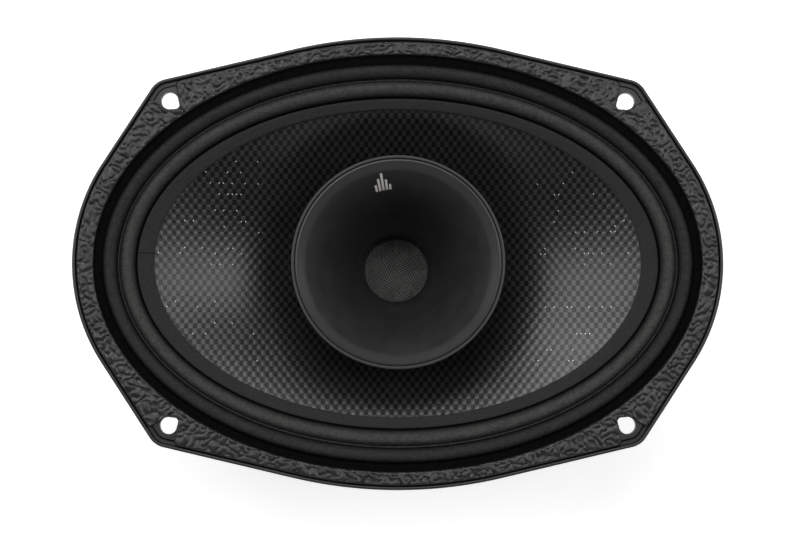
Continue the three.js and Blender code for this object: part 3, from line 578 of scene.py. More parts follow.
CAST_BLACK = plain_material("cast_black", grey(0.008), 0.4, grain=1.6, grain_height=0.03)
HORN_BLACK = plain_material("horn_black", grey(0.02), 0.42, grain=1.5, grain_height=0.07, spread=0.06)
RIM_BLACK = plain_material("rim_black", grey(0.014), 0.5, grain=3.0, grain_height=0.015)
STEEL_BLACK = plain_material("steel_black", grey(0.022), 0.38, 0.4, grain=4.0, grain_height=0.01)
FERRITE = plain_material("ferrite", grey(0.05, 0.0), 0.62, grain=5.0, grain_height=0.02, spread=0.25)
PLASTIC_BLACK = plain_material("plastic_black", grey(0.018), 0.42, grain=4.0, grain_height=0.015)
PLASTIC_RED = plain_material("plastic_red", (0.42, 0.015, 0.012), 0.35, grain=4.0, grain_height=0.01)
ZINC = plain_material("zinc", (0.62, 0.61, 0.58), 0.3, 1.0, grain=6.0, grain_height=0.006)
BRASS = plain_material("brass", (0.72, 0.50, 0.2), 0.28, 1.0, grain=6.0, grain_height=0.006)
COPPER = plain_material("copper", (0.78, 0.36, 0.2), 0.34, 1.0, grain=6.0, grain_height=0.01)
FORMER = plain_material("former_film", (0.24, 0.10, 0.03), 0.32, grain=2.0, grain_height=0.01)
TITANIUM = plain_material("titanium", (0.55, 0.54, 0.52), 0.3, 1.0, grain=5.0, grain_height=0.005)
SLEEVE_BLUE = plain_material("sleeve_blue", (0.02, 0.045, 0.14), 0.3, grain=5.0, grain_height=0.008)
SOLDER = plain_material("solder", (0.66, 0.66, 0.68), 0.25, 1.0, grain=3.0, grain_height=0.02)
SCREEN = plain_material("screen_wire", grey(0.34), 0.5, 0.25, grain=6.0, grain_height=0.01)
MARK_WHITE = plain_material("mark_white", (0.72, 0.70, 0.68), 0.5, grain=6.0, grain_height=0.004, spread=0.05)


def cloth_material(name, color, rough, pitch, depth, fuzz, crest_highlight=None):
    """Woven cloth: threads both ways at a fine pitch, with uneven dye and a little fuzz. With a second
    colour, painted highlight: lighter and more specular where a mesh attribute marks the roll crests, and
    painted shade, darker and duller, in the valleys."""
    made = material(name, color, rough, 0.0, 0.2)
    place = object_place(made)
    heights = []
    for direction in ("X", "Y"):
        wave = node(made, "ShaderNodeTexWave", bands_direction=direction)
        wave.inputs["Scale"].default_value = math.pi / (10 * pitch)
        wave.inputs["Distortion"].default_value = 1.2
        wave.inputs["Detail"].default_value = 2
        wave.inputs["Detail Scale"].default_value = 2
        link(made, place, wave.inputs["Vector"])
        heights.append(wave.outputs["Fac"])
    weave = math_node(made, "MULTIPLY", heights[0], heights[1])
    fuzzy = noise_texture(made, place, 3.0, 3)
    height = math_node(made, "MULTIPLY_ADD", fuzzy, fuzz, weave)
    raised = math_node(made, "MULTIPLY", weave, 0.35)
    patches = math_node(made, "MULTIPLY_ADD", noise_texture(made, place, 0.5, 5), 0.8, raised)
    half_patches = math_node(made, "MULTIPLY", patches, 0.5)
    threads = noise_texture(made, place, 1.3, 4, 0.7)
    tone = math_node(made, "MULTIPLY_ADD", threads, 0.7, half_patches)
    cloth_colour = tint(made, tone, times(color, 0.55), times(color, 1.35), 0.42, 0.68)
    # Painted light: a lighter colour and higher specular level on the roll crests as painted highlight, dark
    # dull valleys as painted shade.
    if crest_highlight:
        painted_crest_light = node(made, "ShaderNodeAttribute", attribute_name="painted_crest_light")
        height_share = painted_crest_light.outputs["Fac"]
        painted_crest_colour = tint(made, tone, times(crest_highlight, 0.35), crest_highlight, 0.42, 0.68)
        cloth_colour = mixed(made, ramp(made, height_share, 0, 1, 0.35, 1), cloth_colour, painted_crest_colour)
        gloss = ramp(made, height_share, 0.02, 0.3, 0.35, 1)
        link(made, gloss, shader_of(made).inputs["Specular IOR Level"])
    link(made, cloth_colour, shader_of(made).inputs["Base Color"])
    link(made, ramp(made, fuzzy, rough - 0.08, rough + 0.1), shader_of(made).inputs["Roughness"])
    bump(made, height, 0.9, depth)
    return made


# The second colour is a painted highlight for the surround's roll crests.
SURROUND_CLOTH = cloth_material("surround_cloth", grey(0.0025), 0.68, 0.62, 0.16, 0.5, crest_highlight=grey(0.042))
SPIDER_CLOTH = cloth_material("spider_cloth", (0.36, 0.2, 0.065), 0.8, 0.55, 0.12, 0.25)


def felt_material():
    """Pressed felt: matt, with short fibres that only show close by."""
    made = material("band_felt", grey(0.018), 0.85, 0.0, 0.2)
    place = object_place(made)
    value = mottled(made, place, 1.3, grey(0.013), grey(0.023), 0.78, 0.92)
    fibres = noise_texture(made, place, 4.5, 3)
    first = bump(made, value, 0.35, 0.05)
    bump(made, fibres, 0.5, 0.03, first)
    return made


BAND_FELT = felt_material()


def gasket_material():
    """Embossed foam rubber, satin, with random patches of slightly different tone and shine."""
    made = material("gasket_foam", grey(0.014), 0.42, 0.0, 0.5)
    place = object_place(made)
    value = mottled(made, place, 0.35, grey(0.005), grey(0.011), 0.36, 0.48)
    pores = noise_texture(made, place, 3.5, 2)
    first = bump(made, value, 0.2, 0.05)
    bump(made, pores, 0.4, 0.02, first)
    return made


GASKET = gasket_material()

WEAVE_X = 1.56
WEAVE_Y = 1.97
THREAD_RISE = 0.11
THREAD_DIP = 0.05
# Painted glints on the cone's flanks: size, rarity, share by row, start and colour of the white dots.
PAINTED_GLINT_SIZE = 0.1
PAINTED_GLINT_RARITY = 1.26
PAINTED_GLINT_ROW_SHARE = 0.5
PAINTED_GLINT_START_X = 50
PAINTED_GLINT_COLOR = (0.75, 0.73, 0.7)


def weave_material():
    """Plain weave of glossy fibre in resin. The threads on top shine and those between them stay dark,
    and the top threads are painted lighter too, a painted highlight. White dots at a few of the threads'
    crossings on the flanks are painted glints."""
    made = material("woven_cone", grey(0.009), 0.3, 0.0, 0.5)
    shader = shader_of(made)
    place = object_place(made)
    parts = node(made, "ShaderNodeSeparateXYZ")
    link(made, place, parts.inputs["Vector"])
    pitches = (("X", WEAVE_X), ("Y", WEAVE_Y))
    grid = [math_node(made, "DIVIDE", parts.outputs[axis], pitch) for axis, pitch in pitches]
    cells = [math_node(made, "FLOOR", value) for value in grid]
    odd = math_node(made, "MODULO", math_node(made, "ABSOLUTE", math_node(made, "ADD", *cells)), 2)
    stretches = ((6.0, 0.5, 0.5), (0.5, 6.0, 0.5))
    streaks = [noise_texture(made, scaled(place, made, scale), 1.6, 2) for scale in stretches]
    pick = node(made, "ShaderNodeMix", data_type="FLOAT")
    link(made, odd, pick.inputs[0])
    link(made, streaks[0], pick.inputs[2])
    link(made, streaks[1], pick.inputs[3])
    fibres = pick.outputs[0]
    broad = noise_texture(made, place, 0.08, 3)
    uneven = math_node(made, "MULTIPLY_ADD", broad, 0.3, math_node(made, "MULTIPLY", fibres, 0.3))
    # Painted highlight: the top threads get a lighter colour than those between them; the broad and fibre
    # noise add uneven tone.
    shine = math_node(made, "MULTIPLY_ADD", odd, 0.6, uneven)
    threads = tint(made, shine, grey(0.003), grey(0.015), 0.25, 0.95)
    link(made, ramp(made, shine, 0.34, 0.72, 0.25, 0.95), shader.inputs["Specular IOR Level"])
    link(made, ramp(made, shine, 0.3, 0.34, 0.25, 0.95), shader.inputs["Roughness"])

    # Painted glints: white dots at a few thread crossings on the flanks, painted highlight in the base
    # colour.
    crossings = [math_node(made, "ROUND", value) for value in grid]
    away = [math_node(made, "POWER", math_node(made, "SUBTRACT", a, b), 2) for a, b in zip(grid, crossings)]
    dot = math_node(made, "LESS_THAN", math_node(made, "ADD", *away), PAINTED_GLINT_SIZE ** 2)
    joined = node(made, "ShaderNodeCombineXYZ")
    for axis, value in zip("XY", crossings):
        link(made, value, joined.inputs[axis])
    spread = node(made, "ShaderNodeTexWhiteNoise", noise_dimensions="3D")
    link(made, joined.outputs["Vector"], spread.inputs["Vector"])
    rows = node(made, "ShaderNodeTexWhiteNoise", noise_dimensions="1D")
    link(made, crossings[1], rows.inputs["W"])
    row_luck = math_node(made, "MULTIPLY", rows.outputs["Value"], PAINTED_GLINT_ROW_SHARE)
    luck = math_node(made, "ADD", spread.outputs["Value"], row_luck)
    chosen = math_node(made, "GREATER_THAN", luck, PAINTED_GLINT_RARITY)
    flank = math_node(made, "GREATER_THAN", math_node(made, "ABSOLUTE", parts.outputs["X"]), PAINTED_GLINT_START_X)
    lit = math_node(made, "MULTIPLY", math_node(made, "MULTIPLY", dot, chosen), flank)
    link(made, mixed(made, lit, threads, PAINTED_GLINT_COLOR), shader.inputs["Base Color"])
    bump(made, fibres, 0.5, 0.03)
    return made


WEAVE = weave_material()

# ------------------------------------------------------------------------------
# Flange outline, as a radius at each direction from the centre


def corner_centre():
    """Centre of a flange corner's arc: one corner radius inside both straight edges that meet there."""
    long_side = math.radians(90 - LONG_SIDE_HALF_ANGLE)
    end = math.radians(END_HALF_ANGLE)
    rows = np.array([[math.cos(long_side), math.sin(long_side)], [math.cos(end), math.sin(end)]])
    distances = np.array([
        LONG_SIDE_RADIUS + (FLANGE_HALF_WIDTH - LONG_SIDE_RADIUS) * math.sin(long_side),
        END_RADIUS + (FLANGE_HALF_LENGTH - END_RADIUS) * math.cos(end),
    ])
    return np.linalg.solve(rows, distances - CORNER_RADIUS)


CORNER = corner_centre()
CORNERS = [np.array([sx, sy]) * CORNER for sx, sy in ((1, 1), (-1, 1), (-1, -1), (1, -1))]


def outline_points(inset):
    """Closely spaced points of the flange's outline, moved inwards by an inset."""
    side = FLANGE_HALF_LENGTH - END_RADIUS
    rise = FLANGE_HALF_WIDTH - LONG_SIDE_RADIUS
    steep = 90 - LONG_SIDE_HALF_ANGLE
    end = END_HALF_ANGLE
    x, y = CORNER
    arcs = [
        (side, 0, END_RADIUS, -end, end), (x, y, CORNER_RADIUS, end, steep),
        (0, rise, LONG_SIDE_RADIUS, steep, 180 - steep), (-x, y, CORNER_RADIUS, 180 - steep, 180 - end),
        (-side, 0, END_RADIUS, 180 - end, 180 + end), (-x, -y, CORNER_RADIUS, 180 + end, 180 + steep),
        (0, -rise, LONG_SIDE_RADIUS, 180 + steep, 360 - steep),
        (x, -y, CORNER_RADIUS, 360 - steep, 360 - end),
    ]
    corners = []
    for cx, cy, radius, start, stop in arcs:
        t = np.radians(np.linspace(start, stop, 60))
        corners.append(np.stack([cx + (radius - inset) * np.cos(t), cy + (radius - inset) * np.sin(t)], 1))
    out = []
    for i, arc in enumerate(corners):
        following = corners[(i + 1) % len(corners)][0]
        out.append(arc)
        out.append(arc[-1] + np.linspace(0, 1, 50)[1:-1, None] * (following - arc[-1]))
    return np.vstack(out)


def radius_at(points, directions):
    """Distance from the centre to a closed outline of points, at each direction in radians."""
    angle = np.arctan2(points[:, 1], points[:, 0])
    order = np.argsort(angle)
    return np.interp(directions, angle[order], np.hypot(*points[order].T), period=2 * math.pi)


def oval_radius(axes, directions):
    a, b = axes
    return a * b / np.hypot(b * np.cos(directions), a * np.sin(directions))


def even_directions(count):
    """Directions whose points on the flange's outline are evenly spaced."""
    points = outline_points(0)
    points = np.vstack([points, points[:1]])
    length = np.r_[0, np.cumsum(np.linalg.norm(np.diff(points, axis=0), axis=1))]
    angle = np.unwrap(np.arctan2(points[:, 1], points[:, 0]))
    return np.interp(np.linspace(0, length[-1], count, endpoint=False), length, angle)


def polar_loop(radii, directions, z):
    z = np.broadcast_to(z, len(directions))
    return np.stack([radii * np.cos(directions), radii * np.sin(directions), z], 1)


def half_planes(polygon):
    """Outward normals and distances of a convex counter-clockwise polygon's edges."""
    p = np.asarray(polygon, float)
    edges = np.roll(p, -1, axis=0) - p
    normals = np.stack([edges[:, 1], -edges[:, 0]], 1)
    normals /= np.linalg.norm(normals, axis=1)[:, None]
    return normals, np.sum(normals * p, 1)


TIP_REACH = 1.24
TIP_HALF_ANGLE = 9
STRIP_END_LONG = 3.4
STRIP_END_SHORT = 2.6
HOLE_MARGIN = 2.1


def teardrop(centre, grow=0.0):
    """Hole outline: a circle with a blunt tip towards the speaker's centre."""
    inward = math.atan2(-centre[1], -centre[0])
    radius = HOLE_RADIUS + grow
    t = inward + np.linspace(math.pi / 4, 2 * math.pi - math.pi / 4, 40)
    arc = centre + radius * np.stack([np.cos(t), np.sin(t)], 1)
    t = inward + np.radians([-TIP_HALF_ANGLE, TIP_HALF_ANGLE])
    tip = centre + radius * TIP_REACH * np.stack([np.cos(t), np.sin(t)], 1)
    return np.vstack([arc, tip])


def bare_corner(centre):
    """Wedge that the gasket leaves bare round a hole, counter-clockwise."""
    signs = np.sign(centre)
    inward = -centre / np.linalg.norm(centre)

    def edge(degrees, back, sideways):
        normal = signs * (math.cos(math.radians(degrees)), math.sin(math.radians(degrees)))
        tangent = signs * sideways
        foot = -tangent * back
        along = (HOLE_MARGIN - foot @ inward) / (normal @ inward)
        return centre + foot + normal * along, centre + foot + normal * 3 * CORNER_RADIUS

    steep = math.radians(90 - LONG_SIDE_HALF_ANGLE)
    end = math.radians(END_HALF_ANGLE)
    a, b = edge(90 - LONG_SIDE_HALF_ANGLE, STRIP_END_LONG, np.array([math.sin(steep), -math.cos(steep)]))
    c, d = edge(END_HALF_ANGLE, STRIP_END_SHORT, np.array([-math.sin(end), math.cos(end)]))
    return counter_clockwise([a, b, d, c])


def soft_max(a, b, reach):
    """Maximum of two distances whose crossing is rounded over a reach."""
    h = np.maximum(reach - np.abs(a - b), 0)
    return np.maximum(a, b) + h * h / (4 * reach)


def edge_drop(margin, radius):
    """How far a rounded edge lies below the top, by the distance in from the side."""
    return radius * (1 - np.sqrt(1 - (1 - np.clip(margin / radius, 0, 1)) ** 2))


# ------------------------------------------------------------------------------
# Front gasket


def gasket_outer(directions, inner):
    """Radius of the gasket's outer edge, cut back round the holes with rounded ends."""
    outline = radius_at(outline_points(GASKET_INSET), directions)
    steps = np.linspace(0, 1, 400)
    radii = inner[:, None] + 0.4 + (outline - inner + 0.6)[:, None] * steps[None]
    x = radii * np.cos(directions)[:, None]
    y = radii * np.sin(directions)[:, None]
    outside = (radii - outline[:, None]) * 0.97
    for centre in CORNERS:
        for polygon, reach in ((bare_corner(centre), 2.4), (teardrop(centre, 0.15), 0.8)):
            normals, distances = half_planes(polygon)
            along = normals[:, 0, None, None] * x + normals[:, 1, None, None] * y
            inside = np.max(along - distances[:, None, None], axis=0)
            outside = soft_max(outside, -inside, reach)
    first = np.argmax(outside > 0, axis=1)
    rows = np.arange(len(directions))
    before = np.maximum(first - 1, 0)
    low, high = outside[rows, before], outside[rows, first]
    share = np.clip(-low / np.maximum(high - low, 1e-9), 0, 1)
    return radii[rows, before] + (radii[rows, first] - radii[rows, before]) * share


def wrinkles(points):
    """Embossed leather pattern: meandering creases between low cushions, from 0 in a crease to 1 on top."""
    warp = np.stack([noise(points, 3.6, shift) for shift in (11.3, 27.9, 41.7)], -1) * 1.6
    creases = np.abs(noise(points + warp, 2.7, 5.1))
    cushions = 1 - np.exp(-(creases / 0.13) ** 2)
    swell = 0.8 + 0.55 * noise(points, 2.2, 63.2)
    return cushions * swell


EMBOSS_HEIGHT = 0.62
EMBOSS_RUN_IN = 0.9
GASKET_EDGE = 0.55


def front_gasket():
    directions = even_directions(1700)
    inner = oval_radius(OPENING, directions)
    outer = gasket_outer(directions, inner)
    width = outer - inner
    top = []
    for share in np.linspace(0, 1, 26):
        distance_in = width * share
        margin = np.minimum(distance_in, width - distance_in)
        radii = inner + distance_in
        flat = polar_loop(radii, directions, 0.0)
        lift = wrinkles(flat) * np.clip(margin / EMBOSS_RUN_IN, 0, 1) * EMBOSS_HEIGHT
        z = Z_FRONT + GASKET_HEIGHT - GASKET_EDGE - edge_drop(margin, GASKET_EDGE) + lift
        top.append(polar_loop(radii, directions, z))
    low = Z_FRONT + 0.02
    loops = [polar_loop(outer, directions, low)] + top[::-1] + [polar_loop(inner, directions, low)]
    obj = loft("front_gasket_embossed", loops, 55)
    settle(obj, GASKET, "gasket_foam", "front_gasket")


# ------------------------------------------------------------------------------
# Basket


WINDOW_INNER = 0.11
WINDOW_OUTER = 0.83
WINDOW_CORNER = 2.5
RIB_HALF_WIDTH = 1.3
LEGS = (*LEG_ANGLES, TERMINAL_WEB)


def wall_oval(share):
    """Half-axes of the basket's wall, from 0 at the ledge to 1 at the flange."""
    return LEDGE_RADIUS + (WALL_TOP - LEDGE_RADIUS) * share


def window_outline(from_leg, to_leg):
    """Plan of the window between two legs, with rounded corners."""
    steps = 24
    inner, outer = wall_oval(WINDOW_INNER), wall_oval(WINDOW_OUTER)

    def edge(oval, backwards):
        ends = []
        for leg, side in ((from_leg, 1), (to_leg, -1)):
            angle = math.radians(leg)
            radius = float(oval_radius(oval, angle))
            ends.append(angle + side * math.asin(LEG_WIDTH / 2 / radius))
        t = np.linspace(*ends, steps)
        t = t[::-1] if backwards else t
        return np.stack([oval_radius(oval, t) * np.cos(t), oval_radius(oval, t) * np.sin(t)], 1)

    points = np.vstack([edge(outer, False), edge(inner, True)])
    corners = {0, steps - 1, steps, 2 * steps - 1}
    out = []
    for i, corner in enumerate(points):
        if i not in corners:
            out.append(corner)
            continue
        before, after = points[i - 1] - corner, points[(i + 1) % len(points)] - corner
        start = corner + before * min(0.45, WINDOW_CORNER / np.linalg.norm(before))
        end = corner + after * min(0.45, WINDOW_CORNER / np.linalg.norm(after))
        out.extend(rounded(start, corner, end, 6))
    return out


def leg_rib(angle_degrees):
    """Stiffening rib along the outside of a leg."""
    t = math.radians(angle_degrees)
    along = np.array([math.cos(t), math.sin(t)])
    across = np.array([-along[1], along[0]])
    foot = np.array([LEDGE_RADIUS - 1.0, Z_LEDGE + 0.3])
    head = np.array([float(oval_radius(WALL_TOP, t)) + WALL - 0.6, Z_MOUNT - 1.6])
    section = [foot, foot + (2.6, -0.6), head + (2.4, -0.4), head + (2.4, 1.8), head + (-0.4, 1.8)]
    points = [[*(along * r + across * side * RIB_HALF_WIDTH), z] for side in (-1, 1) for r, z in section]
    n = len(section)
    faces = [tuple(range(n)), tuple(range(2 * n - 1, n - 1, -1))]
    faces += [(k, n + k, n + (k + 1) % n, (k + 1) % n) for k in range(n)]
    return new_object("rib", points, faces)


def corner_pad(centre):
    """Raised pad with a sloping edge round a mounting hole, where the gasket leaves the corner bare."""
    normals, distances = half_planes(bare_corner(centre))
    directions = circle(240)
    rays = np.stack([np.cos(directions), np.sin(directions)], 1)
    loops = []
    for inset, z in ((2.7, Z_FRONT - 0.3), (2.7, Z_FRONT + 0.35), (3.4, Z_FRONT + 1.3)):
        flange_normals, flange_distances = half_planes(outline_points(inset))
        all_normals = np.vstack([normals, flange_normals])
        slack = np.r_[distances + 0.6, flange_distances] - all_normals @ centre
        facing = rays @ all_normals.T
        reach = np.where(facing > 1e-6, slack[None] / np.maximum(facing, 1e-6), 1e9).min(axis=1)
        loops.append(np.column_stack([centre + rays * reach[:, None], np.full(len(rays), z)]))
    points = np.vstack(loops)
    count = len(rays)
    faces = grid_faces(3, count, close_rows=False)
    faces.append(tuple(range(count - 1, -1, -1)))
    faces.append(tuple(range(2 * count, 3 * count)))
    return new_object("pad", points, faces)


def basket():
    directions = even_directions(960)

    def outline(inset, z):
        return polar_loop(radius_at(outline_points(inset), directions), directions, z)

    def oval(axes, z):
        return polar_loop(oval_radius(np.broadcast_to(axes, 2), directions), directions, z)

    def arc(centre_inset, centre_z, radius, start, stop, steps=4):
        """Rounded edge of the lip: loops round a quarter circle in section."""
        for t in np.radians(np.linspace(start, stop, steps)):
            yield outline(centre_inset - radius * math.cos(t), centre_z + radius * math.sin(t))

    loops = [
        outline(0.5, Z_MOUNT),
        *arc(0.5, Z_MOUNT + 0.5, 0.5, -60, 0, 3),
        *arc(0.55, LIP_TOP - 0.55, 0.55, 0, 90, 5),
        *arc(0.75, LIP_TOP - 0.45, 0.45, 90, 165, 4),
        outline(1.26, Z_FRONT + 0.35),
        outline(1.5, Z_FRONT),
        oval(WALL_TOP + 0.5, Z_FRONT),
        oval(WALL_TOP, Z_FRONT - 0.5),
        oval(WALL_TOP, Z_MOUNT - 1.6),
        oval(WALL_TOP - 0.8, Z_MOUNT - 2.6),
        oval(LEDGE_RADIUS - 0.1, Z_SPIDER + 0.4),
        oval(LEDGE_RADIUS - 0.4, Z_SPIDER),
        oval(SEAT_RADIUS + 0.8, Z_SPIDER),
        oval(SEAT_RADIUS + 0.3, Z_SPIDER - 0.5),
        oval(SEAT_RADIUS - 1.4, Z_SEAT + WALL + 0.8),
        oval(SEAT_RADIUS - 2.2, Z_SEAT + WALL),
        oval(SEAT_INNER + 0.4, Z_SEAT + WALL),
        oval(SEAT_INNER, Z_SEAT + WALL - 0.4),
        oval(SEAT_INNER, Z_SEAT),
        oval(SEAT_RADIUS - 0.8, Z_SEAT),
        oval(SEAT_RADIUS + 0.1, Z_SEAT + 0.8),
        oval(SEAT_RADIUS + 1.5, Z_LEDGE - 0.8),
        oval(SEAT_RADIUS + 2.3, Z_LEDGE),
        oval(LEDGE_RADIUS - 0.6, Z_LEDGE),
        oval(LEDGE_RADIUS + 0.4, Z_LEDGE + 0.5),
        oval(WALL_TOP + WALL - 0.6, Z_MOUNT - 3.2),
        oval(WALL_TOP + WALL + 0.2, Z_MOUNT - 1.6),
        oval(WALL_TOP + WALL + 1.2, Z_MOUNT),
    ]
    obj = loft("basket_casting", loops[::-1])
    (_, _, bracket_z), (bracket_width, _, bracket_height) = middle_mm("terminal_block")
    bracket = block(
        "bracket", (0, BRACKET_FACE + BRACKET_THICKNESS / 2, bracket_z + 0.75),
        (bracket_width, BRACKET_THICKNESS, bracket_height + 1.5), 0.3)
    combine(obj, [*map(leg_rib, LEGS), bracket, *map(corner_pad, CORNERS)], "UNION")
    cutters = [
        prism("window", window_outline(a, b), Z_SEAT + 4, Z_MOUNT - 0.8) for a, b in zip(LEGS, LEGS[1:])]
    cutters += [prism("hole", teardrop(centre), Z_MOUNT - 1, LIP_TOP + 1) for centre in CORNERS]
    slot_size = (7, 16, 5.5)
    slot_low = box_mm("terminal_block")[1][2] + 2
    for side in (-1, 1):
        centre = (side * LUG_X, BRACKET_FACE + 3, slot_low + slot_size[2] / 2)
        cutters.append(block("slot", centre, slot_size, 0))
    for degrees in (45, 135, 225, 315):
        x, y = around(SCREW_CIRCLE, degrees)
        cutters.append(rod("hole", SCREW_HOLE, (x, y, Z_SEAT - 1), (x, y, Z_SEAT + WALL + 1)))
    cut(obj, cutters, 38)
    settle(obj, CAST_BLACK, "cast_frame", "basket")


# ------------------------------------------------------------------------------
# Moving front: cone, edge band and surround


def cone_face(share):
    """Height of the cone's front face, from 0 at the neck to 1 at the edge."""
    return Z_NECK + (Z_CONE_EDGE - Z_NECK) * (1 - (1 - np.clip(share, 0, 1)) ** CONE_CURVE)


def cone_share(x, y):
    """How far out a point lies: 0 on the neck's circle, 1 on the cone's edge ellipse."""
    low = np.zeros_like(x)
    high = np.ones_like(x) * 1.2
    for _ in range(32):
        middle = (low + high) / 2
        a, b = NECK + CONE_REACH[0] * middle, NECK + CONE_REACH[1] * middle
        outside = (x / a) ** 2 + (y / b) ** 2 > 1
        low = np.where(outside, middle, low)
        high = np.where(outside, high, middle)
    return (low + high) / 2


def cone():
    """Woven cone: a grid lined up with the threads, each cell bowed as its thread is, then thickened."""
    per_cell = 3
    step = np.array([WEAVE_X, WEAVE_Y]) / per_cell
    edge = CONE_EDGE - 0.6
    columns, rows = np.ceil((edge + 2) / step).astype(int)
    ix, iy = np.meshgrid(np.arange(-columns, columns + 1), np.arange(-rows, rows + 1), indexing="ij")
    x, y = ix * step[0], iy * step[1]
    neck = NECK + 0.2
    outside = np.hypot(x / edge[0], y / edge[1])
    hole = np.hypot(x, y) / neck
    keep = (outside <= 1) & (hole >= 1)
    near = np.zeros_like(keep)
    for di in (-1, 0, 1):
        for dj in (-1, 0, 1):
            near |= np.roll(np.roll(keep, di, 0), dj, 1)
    snapped = near & ~keep
    outwards = np.where(hole < 1, 1 / np.maximum(hole, 1e-9), 1)
    pull = np.where(outside > 1, 1 / np.maximum(outside, 1e-9), outwards)
    px = np.where(snapped, x * pull, x)
    py = np.where(snapped, y * pull, y)
    share = cone_share(px, py)
    u, v = px / WEAVE_X, py / WEAVE_Y
    odd = (np.floor(u + 1e-6) + np.floor(v + 1e-6)) % 2 == 1
    bow = np.abs(np.sin(math.pi * u)) ** 0.6 * np.abs(np.sin(math.pi * v)) ** 0.6
    z = cone_face(share) + np.where(odd, THREAD_RISE, -THREAD_DIP) * bow
    index = -np.ones(keep.shape, int)
    used = keep | snapped
    index[used] = np.arange(used.sum())
    points = np.stack([px[used], py[used], z[used]], 1)
    a, b = index[:-1, :-1], index[1:, :-1]
    c, d = index[1:, 1:], index[:-1, 1:]
    inside = keep[:-1, :-1].astype(int) + keep[1:, :-1] + keep[1:, 1:] + keep[:-1, 1:]
    whole = (a >= 0) & (b >= 0) & (c >= 0) & (d >= 0) & (inside >= 1)
    faces = np.stack([a[whole], b[whole], c[whole], d[whole]], 1).tolist()
    obj = new_object("cone_woven", points, faces, 80)
    bm = bmesh.new()
    bm.from_mesh(obj.data)
    bmesh.ops.remove_doubles(bm, verts=bm.verts, dist=0.02 * MM)
    bmesh.ops.dissolve_degenerate(bm, edges=bm.edges, dist=0.01 * MM)
    bmesh.ops.delete(bm, geom=[v for v in bm.verts if not v.link_faces], context="VERTS")
    bm.to_mesh(obj.data)
    bm.free()
    solid = obj.modifiers.new("thickness", "SOLIDIFY")
    solid.thickness = CONE_THICKNESS * MM
    solid.offset = -1
    apply_modifiers(obj)
    smooth(obj, 80)
    settle(obj, WEAVE, "woven_cone", "cone", body="cone")


BAND_SINK = 0.2
BAND_HEIGHT = 0.95
BAND_EDGE = 0.28
SEAM_DEPTH = 0.5
SEAM_WIDTH = 0.0016


def edge_band():
    """Felt band over the joint of cone and surround, with a butt seam on the left."""
    outer = CONE_EDGE - 0.5
    seam = math.pi - 0.062
    fine = seam + np.array([-0.006, -0.0035, -0.0022, -0.001, 0, 0.001, 0.0022, 0.0035, 0.006])
    angles = circle(720)
    angles = np.sort(np.r_[angles[np.abs(angles - seam) > 0.007], fine])
    groove = SEAM_DEPTH * np.exp(-((angles - seam) / SEAM_WIDTH) ** 2)
    foot = float(cone_face((BAND_INNER[0] - NECK) / CONE_REACH[0]))
    low = foot + BAND_SINK
    high = foot + BAND_HEIGHT
    top_outer = Z_CONE_EDGE + BAND_HEIGHT
    shares = np.linspace(0, 1, 9)
    section = [(*(BAND_INNER + (outer - BAND_INNER) * s), low + (top_outer - 0.75 - low) * s) for s in shares]
    for share in shares[::-1]:
        margin = min(share, 1 - share) * (outer[0] - BAND_INNER[0])
        z = high + (top_outer - high) * share - edge_drop(margin, BAND_EDGE)
        section.append((*(BAND_INNER + (outer - BAND_INNER) * share), z - groove))
    obj = loft("cone_edge_band_felt", oval_loops(section, angles), 50)
    settle(obj, BAND_FELT, "band_felt", "cone_edge_band", body="cone")


BEAD_HEIGHT = 0.75
BEAD_WIDTH = 0.055
SURROUND_THICKNESS = 0.5


def surround_line(steps):
    """Middle line of the surround's section: distance out from the cone's edge, and height."""
    low = Z_CONE_EDGE + 0.1
    high = Z_FRONT + 0.3
    line = [(-1.4, low - 0.1)]
    for i in range(2 * steps + 1):
        across = i / steps
        within = across - math.floor(across) if across < 2 else 1.0
        floor = low + (high - low) * across / 2
        roll = math.sin(math.pi * within) ** 0.85 * ROLL_HEIGHT
        bead = BEAD_HEIGHT * math.exp(-((across - 1) / BEAD_WIDTH) ** 2)
        line.append((across * ROLL_PITCH, floor + roll + bead))
    lap = LANDING + 1.4
    line.append((2 * ROLL_PITCH + 0.5, high))
    line.append((2 * ROLL_PITCH + lap, high))
    return np.array(line)


def surround():
    line = surround_line(22)
    slope = np.gradient(line, axis=0)
    slope /= np.linalg.norm(slope, axis=1)[:, None]
    normal = np.stack([-slope[:, 1], slope[:, 0]], 1)
    upper = line + normal * SURROUND_THICKNESS / 2
    lower = line - normal * SURROUND_THICKNESS / 2
    section = np.vstack([lower, upper[::-1]])
    samples = 540
    rings = oval_loops([(*(CONE_EDGE + across), z) for across, z in section], circle(samples))
    obj = loft("surround_double_roll", rings, 60)
    # Painted light mask: near 1 on the roll crests and the central bead, less on the outer roll, 0 in the
    # valleys. The cloth paints a lighter, shinier colour where it is high, as painted highlight, and painted
    # shade in the valleys.
    base = Z_CONE_EDGE + (Z_FRONT + 0.3 - Z_CONE_EDGE) * section[:, 0] / (2 * ROLL_PITCH)
    painted_crest_light = np.clip((section[:, 1] - base) / ROLL_HEIGHT, 0, 1)
    painted_crest_light = np.where(section[:, 0] > ROLL_PITCH, painted_crest_light * 0.7, painted_crest_light)
    ridge = 0.9 * np.exp(-((section[:, 0] / ROLL_PITCH - 1) / 0.05) ** 2)
    painted_crest_light = np.maximum(painted_crest_light, ridge)
    stored = obj.data.attributes.new("painted_crest_light", "FLOAT", "POINT")
    stored.data.foreach_set("value", np.repeat(painted_crest_light, samples).astype(np.float32))
    settle(obj, SURROUND_CLOTH, "surround_cloth", "surround", body=None)
    bend_between(obj)


def bend_between(obj):
    """The piece joins the frame and a moving body; here its placement is only baked into its mesh."""
    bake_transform(obj)


